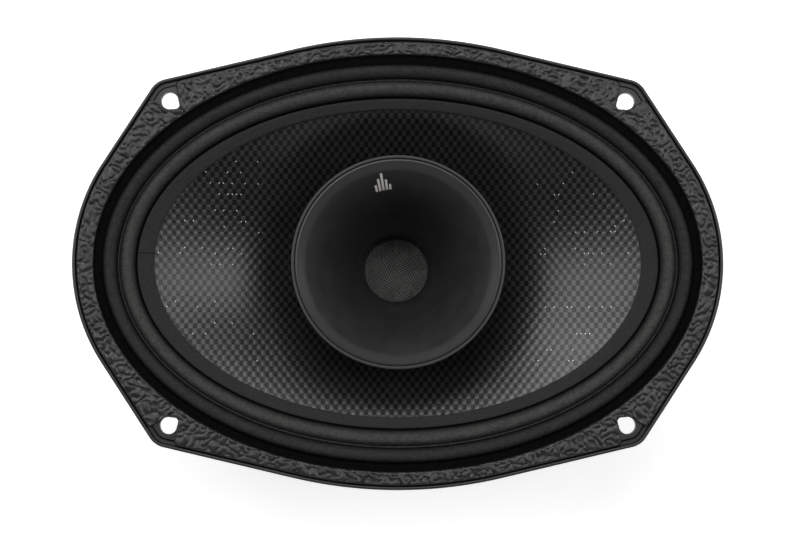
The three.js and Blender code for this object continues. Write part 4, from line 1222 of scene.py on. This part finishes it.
def sheet_ring(name, radii, under, over, samples, look, slot, stands_for):
    """Thin ring between two heights at each radius, over the given span of radii."""
    section = np.vstack([np.stack([radii, under], 1), np.stack([radii, over], 1)[::-1]])
    obj = loft(name, oval_loops([(r, r, z) for r, z in section], circle(samples)), 60)
    settle(obj, look, slot, stands_for, body=None)
    bend_between(obj)


def spider():
    """Corrugated disc of stiffened cloth between the coil former and the basket's ledge."""
    inner = FORMER_RADIUS + 0.1
    start = inner + 2
    end = SEAT_RADIUS - 1.2
    radii = np.r_[inner, start - 0.3, np.linspace(start, end, 90), end + 0.6, radius_of("spider")]
    share = np.clip((radii - start) / (end - start), 0, 1)
    wave = 1.05 * np.sin(2 * math.pi * 3.5 * share) * np.clip(np.minimum(share, 1 - share) * 20, 0, 1)
    middle = Z_SPIDER + 0.32 + wave
    sheet_ring("spider_corrugated", radii, middle - 0.25, middle + 0.25, 220,
               SPIDER_CLOTH, "spider_cloth", "spider")


def coil():
    low, high = box_mm("voice_coil_former")
    section = flat_ring(FORMER_RADIUS - FORMER_WALL, FORMER_RADIUS, low[2], high[2])
    obj = round_ring("voice_coil_former_tube", section, 128, 0.1)
    settle(obj, FORMER, "former_film", "voice_coil_former", body="cone")
    low, high = box_mm("voice_coil_winding")
    outer = radius_of("voice_coil_winding")
    turns = 34
    pitch = (high[2] - low[2]) / turns
    section = [(FORMER_RADIUS + 0.05, low[2])]
    for k in range(turns):
        for share, bulge in ((0.1, 0.12), (0.5, 0.0), (0.9, 0.12)):
            section.append((outer - bulge, low[2] + pitch * (k + share)))
    section.append((FORMER_RADIUS + 0.05, high[2]))
    obj = round_ring("voice_coil_turns", section, 128, 0)
    settle(obj, COPPER, "copper_wire", "voice_coil_winding", body="cone")


# ------------------------------------------------------------------------------
# Horn


def horn_radius(share):
    return THROAT_RADIUS + (MOUTH_RADIUS - THROAT_RADIUS) * (0.28 * share + 0.72 * share ** 3.4)


def horn_neck():
    """Outer radius of the horn where it passes the bottom of the woofer's basket."""
    return horn_radius((Z_SEAT - 1 - Z_THROAT) / HORN_LENGTH) + HORN_WALL


def horn():
    inner = [(horn_radius(s), Z_THROAT + HORN_LENGTH * s) for s in np.linspace(0.02, 0.985, 70)]
    foot = horn_neck() + 0.3
    seat = THROAT_RADIUS + 1.5
    rim = MOUTH_RADIUS + MOUTH_LIP
    ledge = Z_MOUTH - 3.6
    outer = []
    for s in np.linspace(0.14, 0.93, 50):
        slope = (horn_radius(s + 0.01) - horn_radius(s)) / (0.01 * HORN_LENGTH)
        tilt = math.hypot(1, slope)
        r = horn_radius(s) + HORN_WALL / tilt
        z = Z_THROAT + HORN_LENGTH * s - HORN_WALL * slope / tilt
        if r < rim - 0.8 and Z_THROAT + 10.5 < z < ledge - 1.2:
            outer.append((r, z))
    bottom = [
        (seat, Z_THROAT), (foot, Z_THROAT), (foot, Z_THROAT + 9),
        (horn_radius(0.13) + HORN_WALL, Z_THROAT + 10),
    ]
    head = [
        (rim - 0.5, ledge - 0.9), (rim + 1.1, ledge), (rim + 1.1, ledge + 0.6), (rim, ledge + 0.6),
        (rim, Z_MOUTH - 0.45), (rim - 0.3, Z_MOUTH - 0.1), (rim - 0.65, Z_MOUTH),
        (MOUTH_RADIUS + 0.15, Z_MOUTH - 0.75), (MOUTH_RADIUS - 0.1, Z_MOUTH - 1.0),
    ]
    throat = [(THROAT_RADIUS, Z_THROAT + 0.7), (seat, Z_THROAT + 0.7)]
    profile = bottom + outer + head + [p for p in inner[::-1] if p[1] < Z_MOUTH - 1.3] + throat
    obj = round_ring("horn_flare", profile, 224, 0, smooth_angle=28)
    settle(obj, HORN_BLACK, "horn_plastic", "horn")
    low, high = box_mm("horn_rim_ring")
    section = flat_ring(rim + 0.25, radius_of("horn_rim_ring"), low[2], high[2])
    obj = round_ring("horn_rim_bezel", section, 224, 0.35, 4)
    settle(obj, RIM_BLACK, "horn_plastic", "horn_rim_ring")


BAR_HEIGHTS = (2.2, 4.0, 5.6, 3.4, 1.8)
BAR_BASE = 27.2
BAR_HALF_WIDTH = 0.42
BAR_THICKNESS = 0.12
BAR_LIFT = 0.06
BAR_SETBACK = 0.025
BAR_STEPS = 8
MARK_DIRECTION = 101
BAR_PITCH = 2.6


def mark_bar(angle, height):
    """Thin bar that lies on the horn's face and runs outwards."""
    shares = np.linspace(0.3, 1, 400)
    radii = horn_radius(shares)
    points = []
    for radius in BAR_BASE + height * np.arange(BAR_STEPS + 1) / BAR_STEPS:
        z = Z_THROAT + HORN_LENGTH * float(np.interp(radius, radii, shares)) + BAR_LIFT
        for side in (-1, 1):
            t = angle + side * BAR_HALF_WIDTH / radius
            points.append(((radius - BAR_SETBACK) * math.cos(t), (radius - BAR_SETBACK) * math.sin(t), z))
    count = len(points)
    faces = [(0, 1, count + 1, count), (count - 2, 2 * count - 2, 2 * count - 1, count - 1)]
    for a in range(0, 2 * BAR_STEPS, 2):
        faces += [
            (a, a + 2, a + 3, a + 1), (count + a, count + a + 1, count + a + 3, count + a + 2),
            (a, count + a, count + a + 2, a + 2), (a + 1, a + 3, count + a + 3, count + a + 1),
        ]
    under = np.array(points) - (0, 0, BAR_THICKNESS)
    return new_object("bar", np.vstack([points, under]), faces)


def horn_mark():
    """Plain printed mark on the horn: five upright bars of different heights, like a level meter."""
    bars = []
    for k, height in enumerate(BAR_HEIGHTS):
        bars.append(mark_bar(math.radians(MARK_DIRECTION + BAR_PITCH * (2 - k)), height))
    obj = merge("horn_mark", bars)
    bm = bmesh.new()
    bm.from_mesh(obj.data)
    bmesh.ops.recalc_face_normals(bm, faces=bm.faces)
    bm.to_mesh(obj.data)
    bm.free()
    settle(obj, MARK_WHITE, "horn_plastic")


WIRE_PITCH = 0.92
WIRE_RADIUS = 0.17
WIRE_WAVE = 0.11
WIRE_DIRECTION = 28
SCREEN_RISE = 0.42
SCREEN_DOME = 1.15


def throat_screen():
    """Domed screen of woven wire in a thin rim."""
    z_low = box_mm("throat_screen")[0][2]
    reach = THROAT_RADIUS - 0.55
    wires = []
    count = int(reach / WIRE_PITCH)
    for degrees, phase in ((WIRE_DIRECTION, 0), (WIRE_DIRECTION + 90, 1)):
        along = np.array(around(1, degrees))
        across = np.array([-along[1], along[0]])
        for k in range(-count, count + 1):
            offset = k * WIRE_PITCH
            half = math.sqrt(max(reach ** 2 - offset ** 2, 0.04))
            t = np.linspace(-half, half, max(4, int(half / WIRE_PITCH * 5)))
            plan = along[None] * t[:, None] + across[None] * offset
            weave = WIRE_WAVE * np.cos(math.pi * t / WIRE_PITCH + math.pi * (k + phase))
            dome = SCREEN_DOME * (1 - (np.hypot(*plan.T) / reach) ** 2)
            path = np.column_stack([plan, z_low + SCREEN_RISE + dome + weave])
            wires.append(tube("wire", path, WIRE_RADIUS, 6))
    section = flat_ring(reach - 0.25, radius_of("throat_screen"), z_low, z_low + 0.5)
    rim = round_ring("throat_screen_rim", section, 128, 0.1)
    settle(rim, RIM_BLACK, "screen_wire")
    obj = merge("throat_screen_wire", wires)
    smooth(obj, 60)
    settle(obj, SCREEN, "screen_wire", "throat_screen")


# ------------------------------------------------------------------------------
# Motor and compression driver


def chamfered(low, high, inner, outer, chamfer):
    """Ring section with chamfered outer corners."""
    return [
        (inner, low), (outer - chamfer, low), (outer, low + chamfer), (outer, high - chamfer),
        (outer - chamfer, high), (inner, high),
    ]


COIL_GAP = 0.65


def motor():
    pieces = (
        ("woofer_top_plate", 27.0, 0.5, STEEL_BLACK, "steel_black"),
        ("woofer_magnet", 31.0, 1.4, FERRITE, "ferrite"),
        ("hf_magnet", 27.0, 1.1, FERRITE, "ferrite"),
        ("hf_top_plate", 23.2, 0.4, ZINC, "zinc_steel"),
    )
    for name, inner, chamfer, look, slot in pieces:
        low, high = box_mm(name)
        section = chamfered(low[2], high[2], inner, radius_of(name), chamfer)
        settle(round_ring(f"{name}_turned", section, 192), look, slot, name)
    low, high = box_mm("woofer_yoke")
    outer = radius_of("woofer_yoke")
    plate = box_mm("woofer_magnet")[0][2]
    pole = FORMER_RADIUS - FORMER_WALL - COIL_GAP
    bore = horn_neck() + 0.7
    obj = round_ring("woofer_yoke_turned", [
        (bore, low[2]), (outer - 0.6, low[2]), (outer, low[2] + 0.6), (outer, plate - 1.8),
        (outer - 1.8, plate), (pole, plate), (pole, high[2] - 0.6), (pole - 0.6, high[2]),
        (bore + 0.4, high[2]), (bore, high[2] - 0.4),
    ], 192)
    settle(obj, STEEL_BLACK, "steel_black", "woofer_yoke")


SHANK_RADIUS = {"hf_cover": 1.5, "hf_mount": 2.0, "basket": 1.7}
HEAD_HEIGHT = {"hf_cover": 2.0, "hf_mount": 2.6, "basket": 2.2}
THREAD_PITCH = 0.7
THREAD_DEPTH = 0.15


def screw(kind, number, look, slot, head_up=False):
    """Pan-head screw with a hexagon socket and a threaded shank, in the place of a CAD screw."""
    name = f"{kind}_screw_{number}"
    low, high = box_mm(name)
    centre = (low + high) / 2
    head = (high[0] - low[0]) / 2
    shank = SHANK_RADIUS[kind]
    root = shank - THREAD_DEPTH
    head_height = HEAD_HEIGHT[kind]
    length = high[2] - low[2] - head_height
    profile = [(0, -head_height), (head * 0.62, -head_height), (head * 0.86, -head_height * 0.8),
               (head, -head_height * 0.42), (head, -0.15), (head - 0.15, 0), (root, 0)]
    turns = int(length / THREAD_PITCH)
    for k in range(turns):
        z = 0.3 + (length - 0.9) * k / turns
        profile += [(root, z), (shank, z + 0.3)]
    profile += [(root, length - 0.6), (shank - 0.6, length), (0, length)]
    obj = turn(f"{name}_made", profile, 40)
    cut(obj, [rod("socket", head * 0.5, (0, 0, -head_height - 1), (0, 0, -head_height * 0.45), 6)])
    underside = low[2] + head_height
    if head_up:
        obj.data.transform(Matrix.Rotation(math.pi, 4, "X"))
        underside = high[2] - head_height
    move(obj, (centre[0], centre[1], underside))
    settle(obj, look, slot, name)


COVER_SCREW_CIRCLE = 34
COVER_HEAD_BORE = 3.5
COVER_SHANK_BORE = 1.9


def compression_driver():
    low, high = box_mm("hf_front_plate")
    outer = radius_of("hf_front_plate")
    seat, plate = [corner[2] for corner in box_mm("hf_magnet")]
    pole, gap = 19.2, 21.4
    obj = round_ring("hf_front_plate_turned", [
        (THROAT_RADIUS, high[2]), (THROAT_RADIUS, plate), (THROAT_RADIUS + 1, seat + 4), (pole, seat + 1),
        (pole, low[2]), (gap, low[2]), (gap, plate), (outer - 1.2, plate), (outer, plate + 1.2),
        (outer, high[2] - 1.2), (outer - 1.2, high[2]),
    ], 192, 0.3)
    settle(obj, STEEL_BLACK, "steel_black", "hf_front_plate")
    low, high = box_mm("hf_clamp_ring")
    inner, step, outer = 26.0, 30.0, 38.0
    obj = round_ring("hf_clamp_ring_moulded", [
        (inner, low[2]), (outer, low[2]), (outer, high[2]), (step, high[2]), (step, high[2] - 0.4),
        (inner, high[2] - 0.4),
    ], 160, 0.2)
    settle(obj, PLASTIC_BLACK, "board_plastic", "hf_clamp_ring")
    low, high = box_mm("hf_rear_cover")
    outer = radius_of("hf_rear_cover")
    top = high[2]
    obj = turn("hf_rear_cover_moulded", [
        (0, 0), (outer - 12, 0), (outer - 11.6, 0.35), (outer - 10.6, 0.35), (outer - 10.2, 0),
        (outer - 3.2, 0), (outer - 1.8, 0.25), (outer - 0.8, 0.9), (outer - 0.2, 2.0), (outer, 3.2),
        (outer, top - 1.6), (outer - 0.3, top - 1.3), (outer - 0.3, top - 0.8), (outer, top - 0.5),
        (outer, top), (30, top), (30, 6), (28.6, 3.6), (26, 2.4), (0, 2.4),
    ], 192)
    cutters = []
    for degrees in (30, 150, 270):
        x, y = around(COVER_SCREW_CIRCLE, degrees)
        cutters.append(rod("bore", COVER_HEAD_BORE, (x, y, -1), (x, y, 3.2), 48))
        cutters.append(rod("bore", COVER_SHANK_BORE, (x, y, 1), (x, y, top + 1), 32))
    cut(obj, cutters, 35)
    settle(obj, PLASTIC_BLACK, "cover_plastic", "hf_rear_cover")


def inner_nodes():
    """CAD pieces whose shape is right and that lie inside the driver: they only need their materials."""
    looks = (
        ("hf_gasket", PLASTIC_BLACK), ("hf_phase_plug", PLASTIC_BLACK), ("hf_diaphragm", TITANIUM),
        ("hf_voice_coil", COPPER),
    )
    for name, look in looks:
        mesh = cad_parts[name].data
        mesh.materials.clear()
        mesh.materials.append(look)


ROLL_SPAN = 2.7


def driver_surround():
    """Thin half-roll between the small diaphragm and its clamp ring, which bends as the diaphragm moves."""
    low, high = box_mm("hf_surround")
    inner = radius_of("hf_diaphragm") + 0.1
    outer = radius_of("hf_surround")
    roll_end = inner + ROLL_SPAN
    film = 0.28
    depth = high[2] - low[2] - film
    radii = np.r_[np.linspace(inner, roll_end, 16), outer]
    share = np.clip((radii - inner) / (roll_end - inner), 0, 1)
    under = high[2] - film - depth * np.sin(math.pi * share)
    sheet_ring("hf_surround_half_roll", radii, under, under + film, 120,
               SURROUND_CLOTH, "surround_cloth", "hf_surround")


# ------------------------------------------------------------------------------
# Terminals and leads


WIRE_HEIGHT = 4
WIRE_BORE = 1.8
BUTTON_PLAY = 0.6
POCKET_DEPTH = 13.8


def terminals():
    low, high = box_mm("terminal_block")
    obj = block("terminal_block_moulded", (low + high) / 2, high - low, 0.6, 3)
    wire_z = low[2] + WIRE_HEIGHT
    cutters = []
    for side in ("positive", "negative"):
        (x, _, z), (width, _, height) = middle_mm(f"terminal_button_{side}")
        pocket_size = (width + BUTTON_PLAY, POCKET_DEPTH, height + BUTTON_PLAY)
        cutters.append(block("pocket", (x, low[1], z), pocket_size, 0))
        cutters.append(rod("wire", WIRE_BORE, (x, low[1] - 1, wire_z), (x, high[1] + 1, wire_z)))
        cutters.append(rod("funnel", 2.4, (x, low[1] - 1, wire_z), (x, low[1] + 0.5, wire_z)))
    cut(obj, cutters)
    settle(obj, PLASTIC_BLACK, "board_plastic", "terminal_block")
    for side, look, slot in (
            ("positive", PLASTIC_RED, "red_plastic"), ("negative", PLASTIC_BLACK, "board_plastic")):
        name = f"terminal_button_{side}"
        low, high = box_mm(name)
        obj = block(f"{name}_moulded", (low + high) / 2, high - low, 0.5, 3)
        grooves = []
        for share in (0.3, 0.5, 0.7):
            z = low[2] + (high[2] - low[2]) * share
            grooves.append(rod("groove", 0.5, (low[0] - 1, low[1], z), (high[0] + 1, low[1], z), 12))
        cut(obj, grooves)
        settle(obj, look, slot, name, body=f"button_{side}")
        name = f"terminal_lug_{side}"
        low, high = box_mm(name)
        centre = (low + high) / 2
        obj = block(f"{name}_stamped", centre, high - low, 0.15)
        eye_z = low[2] + 2
        cut(obj, [rod("eye", 0.9, (centre[0], low[1] - 1, eye_z), (centre[0], high[1] + 1, eye_z))])
        settle(obj, BRASS, "brass_tab", name)
        name = f"hf_tab_{side}"
        settle(block(f"{name}_stamped", *middle_mm(name), 0.15), BRASS, "brass_tab", name)
    name = "hf_terminal_board"
    settle(block(f"{name}_moulded", *middle_mm(name), 0.4), PLASTIC_BLACK, "board_plastic", name)


def capacitor():
    low, high = box_mm("crossover_capacitor")
    centre = (low + high) / 2
    radius = (high[0] - low[0]) / 2
    foot, top = low[2], high[2]
    obj = turn("crossover_capacitor_sleeved", [
        (0, foot), (radius * 0.62, foot), (radius * 0.7, foot + 0.25), (radius - 0.5, foot + 0.25),
        (radius, foot + 0.9), (radius, top - 3.2), (radius - 0.45, top - 2.7), (radius - 0.45, top - 2.3),
        (radius, top - 1.8), (radius, top - 0.9), (radius - 0.5, top - 0.25), (radius * 0.7, top - 0.25),
        (radius * 0.62, top), (0, top),
    ], 96)
    move(obj, (centre[0], centre[1], 0))
    settle(obj, SLEEVE_BLUE, "capacitor_sleeve", "crossover_capacitor")


LEAD_RADIUS = 1.1
BRAID_TURNS = 9
BRAID_RADIUS = 0.48
STRAND_RADIUS = 0.3
STRANDS = 6
LANDING_SHARE = 0.36


def lead(name, route, look, slot):
    """Insulated lead with its ends stripped and soldered."""
    path = smooth_path(route, 90)
    settle(tube(f"{name}_insulation", path[5:-5], LEAD_RADIUS, 20), look, slot, name)
    swell = np.linspace(0.75, 0.42, 8)
    for end, points, share in (("start", path[:8], swell), ("end", path[-8:], swell[::-1])):
        settle(tube(f"{name}_{end}", points, LEAD_RADIUS * share, 12), SOLDER, "zinc_steel")


def leads():
    middle = middle_mm("terminal_block")[0][1]
    half = LUG_X
    foot = box_mm("terminal_lug_positive")[0][2]
    cap_low, cap_high = box_mm("crossover_capacitor")
    cap_y = (cap_low[1] + cap_high[1]) / 2
    _, tab_end, tab_z = box_mm("hf_tab_positive")[0]
    tab_x = middle_mm("hf_tab_positive")[0][0]
    lead("hf_lead_upper", [
        (half, middle, foot - 0.5), (half, middle, foot - 1.6), (half, cap_y, cap_high[2] + 1.6),
        (half, cap_y, cap_high[2] + 0.5)], PLASTIC_RED, "red_plastic")
    lead("hf_lead_positive", [
        (half, cap_y, cap_low[2] - 0.3), (half, cap_y + 1, cap_low[2] - 8), (half - 1, cap_y + 5, tab_z + 6),
        (tab_x, tab_end - 3.6, tab_z + 0.8), (tab_x, tab_end - 0.3, tab_z + 0.4)],
        PLASTIC_RED, "red_plastic")
    lead("hf_lead_negative", [
        (-half, middle, foot - 0.5), (-half, middle, foot - 1.6), (-half, cap_y + 1, Z_SEAT - 12),
        (-half, cap_y + 1, Z_THROAT + 1), (-half + 1, cap_y + 5, tab_z + 6),
        (-tab_x, tab_end - 3.6, tab_z + 0.8), (-tab_x, tab_end - 0.3, tab_z + 0.4)],
        PLASTIC_BLACK, "board_plastic")


def tinsel_leads():
    """Braided copper leads: strands laid round each other, running between the basket and the cone."""
    middle = middle_mm("terminal_block")[0][1]
    block_top = box_mm("terminal_block")[1][2]
    slot_z = block_top + 5
    landing_y = -(FORMER_RADIUS + (CONE_EDGE[1] - FORMER_RADIUS) * LANDING_SHARE)
    landing_z = float(cone_face(LANDING_SHARE)) - CONE_THICKNESS - 0.8 - 0.55
    bracket = BRACKET_FACE
    for name, side in (("positive", 1), ("negative", -1)):
        x = side * LUG_X
        path = smooth_path([
            (x, middle, block_top + 0.3), (x, middle + 0.8, slot_z - 1), (x, bracket + 1, slot_z),
            (x, (bracket + landing_y) / 2, slot_z - 1.5), (x * 0.85, landing_y - 4, landing_z - 0.8),
            (x * 0.7, landing_y, landing_z)], 160)
        across, up = frames_along(path)
        turn_by = np.linspace(0, 2 * math.pi * BRAID_TURNS, len(path))
        strands = []
        for k in range(STRANDS):
            phase = turn_by + 2 * math.pi * k / STRANDS
            offset = np.cos(phase)[:, None] * across + np.sin(phase)[:, None] * up
            strands.append(tube("strand", path + BRAID_RADIUS * offset, STRAND_RADIUS, 8))
        obj = merge(f"tinsel_lead_{name}_braid", strands)
        smooth(obj, 60)
        settle(obj, COPPER, "copper_wire", f"tinsel_lead_{name}", body=None)
        co = np.empty(len(obj.data.vertices) * 3)
        obj.data.vertices.foreach_get("co", co)
        bend_between(obj)
        joint = rod(f"tinsel_lead_{name}_joint", 1.3, (x * 0.7, landing_y, landing_z - 0.5),
                    (x * 0.7, landing_y, landing_z + 1.6), 24)
        settle(joint, SOLDER, "zinc_steel", body="cone")


# ------------------------------------------------------------------------------
# Floor, lights and camera


FLOOR_GLOW = 0.5
FLOOR_HALF = 6.0
FLOOR_GAP = 0.0005


def stage():
    """Plain pale floor, lit from below like a light table, that reaches far enough for every view."""
    mesh = bpy.data.meshes.new("floor")
    half = FLOOR_HALF
    corners = [(-half, -half, 0), (half, -half, 0), (half, half, 0), (-half, half, 0)]
    mesh.from_pydata(corners, [], [(0, 1, 2, 3)])
    floor = add_object("floor", mesh)
    pale = material("floor_pale", (0.95, 0.95, 0.945), 0.9, 0.0, 0.1)
    shader_of(pale).inputs["Emission Color"].default_value = (1, 1, 1, 1)
    shader_of(pale).inputs["Emission Strength"].default_value = FLOOR_GLOW
    mesh.materials.append(pale)
    floor.location.z = -FLOOR_GAP


def area_light(name, place, size, power):
    """Rectangular light that points at the speaker's front."""
    data = bpy.data.lights.new(name, "AREA")
    data.shape = "RECTANGLE"
    data.size, data.size_y = size
    data.energy = power
    lamp = add_object(name, data)
    lamp.location = place
    aim = Vector((0, 0, Z_FRONT * MM)) - Vector(place)
    lamp.rotation_euler = aim.to_track_quat("-Z", "Y").to_euler()


def lights():
    """Wide key from the far long side and a small one above it, a tall box on either side for the cone's
    flanks, and a weak fill from the terminals' side."""
    area_light("key", (-0.20, 0.80, 1.15), (1.2, 0.45), 9)
    area_light("overhead", (-0.03, 0.36, 1.35), (0.5, 0.3), 1.5)
    area_light("left", (-0.85, 0.22, 1.05), (0.5, 1.4), 7.2)
    area_light("right", (0.85, 0.22, 1.05), (0.5, 1.4), 8)
    area_light("front", (0, -1.1, 0.9), (1.0, 0.5), 1.0)
    studio_walls()


WALL_LIGHT = 0.9
CEILING_LIGHT = 0.03


def studio_walls():
    """Surroundings: pale walls up to a low height, and a dark ceiling above them."""
    world = bpy.data.worlds.new("studio")
    world.use_nodes = True
    tree = world.node_tree
    direction = tree.nodes.new("ShaderNodeTexCoord")
    parts = tree.nodes.new("ShaderNodeSeparateXYZ")
    height = tree.nodes.new("ShaderNodeMapRange")
    height.interpolation_type = "SMOOTHSTEP"
    height.inputs["From Min"].default_value = 0.12
    height.inputs["From Max"].default_value = 0.45
    height.inputs["To Min"].default_value = WALL_LIGHT
    height.inputs["To Max"].default_value = CEILING_LIGHT
    tree.links.new(direction.outputs["Generated"], parts.inputs["Vector"])
    tree.links.new(parts.outputs["Z"], height.inputs["Value"])
    tree.links.new(height.outputs["Result"], tree.nodes["Background"].inputs["Strength"])
    tree.nodes["Background"].inputs["Color"].default_value = (1, 1, 1, 1)
    bpy.context.scene.world = world


CAMERA_DISTANCE = 0.80
CAMERA_LEAN_DOWN = 2.3
CAMERA_LEAN_LEFT = 0.6
FRAME_WIDTH = 0.2905


def camera():
    """Camera almost straight above the flange, a little towards the terminals' side and the left."""
    data = bpy.data.cameras.new("camera")
    data.sensor_width = 36
    data.lens = data.sensor_width * CAMERA_DISTANCE / FRAME_WIDTH
    obj = add_object("camera", data)
    aim = Vector((0.0007, -0.0013, Z_FRONT * MM))
    down, left = math.radians(CAMERA_LEAN_DOWN), math.radians(CAMERA_LEAN_LEFT)
    back = Vector((-math.sin(left), -math.sin(down), math.cos(down))).normalized()
    obj.location = aim + back * CAMERA_DISTANCE
    right = Vector((0, 1, 0)).cross(back).normalized()
    obj.rotation_euler = Matrix((right, back.cross(right), back)).transposed().to_euler()
    bpy.context.scene.camera = obj


front_gasket()
basket()
cone()
edge_band()
surround()
spider()
coil()
horn()
horn_mark()
throat_screen()
motor()
for number in (1, 2, 3):
    screw("hf_cover", number, STEEL_BLACK, "steel_black")
    screw("hf_mount", number, ZINC, "zinc_steel")
for number in (1, 2, 3, 4):
    screw("basket", number, ZINC, "zinc_steel", head_up=True)
compression_driver()
inner_nodes()
driver_surround()
terminals()
capacitor()
leads()
tinsel_leads()
stage()
lights()
camera()

scene = bpy.context.scene
scene.view_settings.view_transform = "Standard"
scene.view_settings.look = "None"
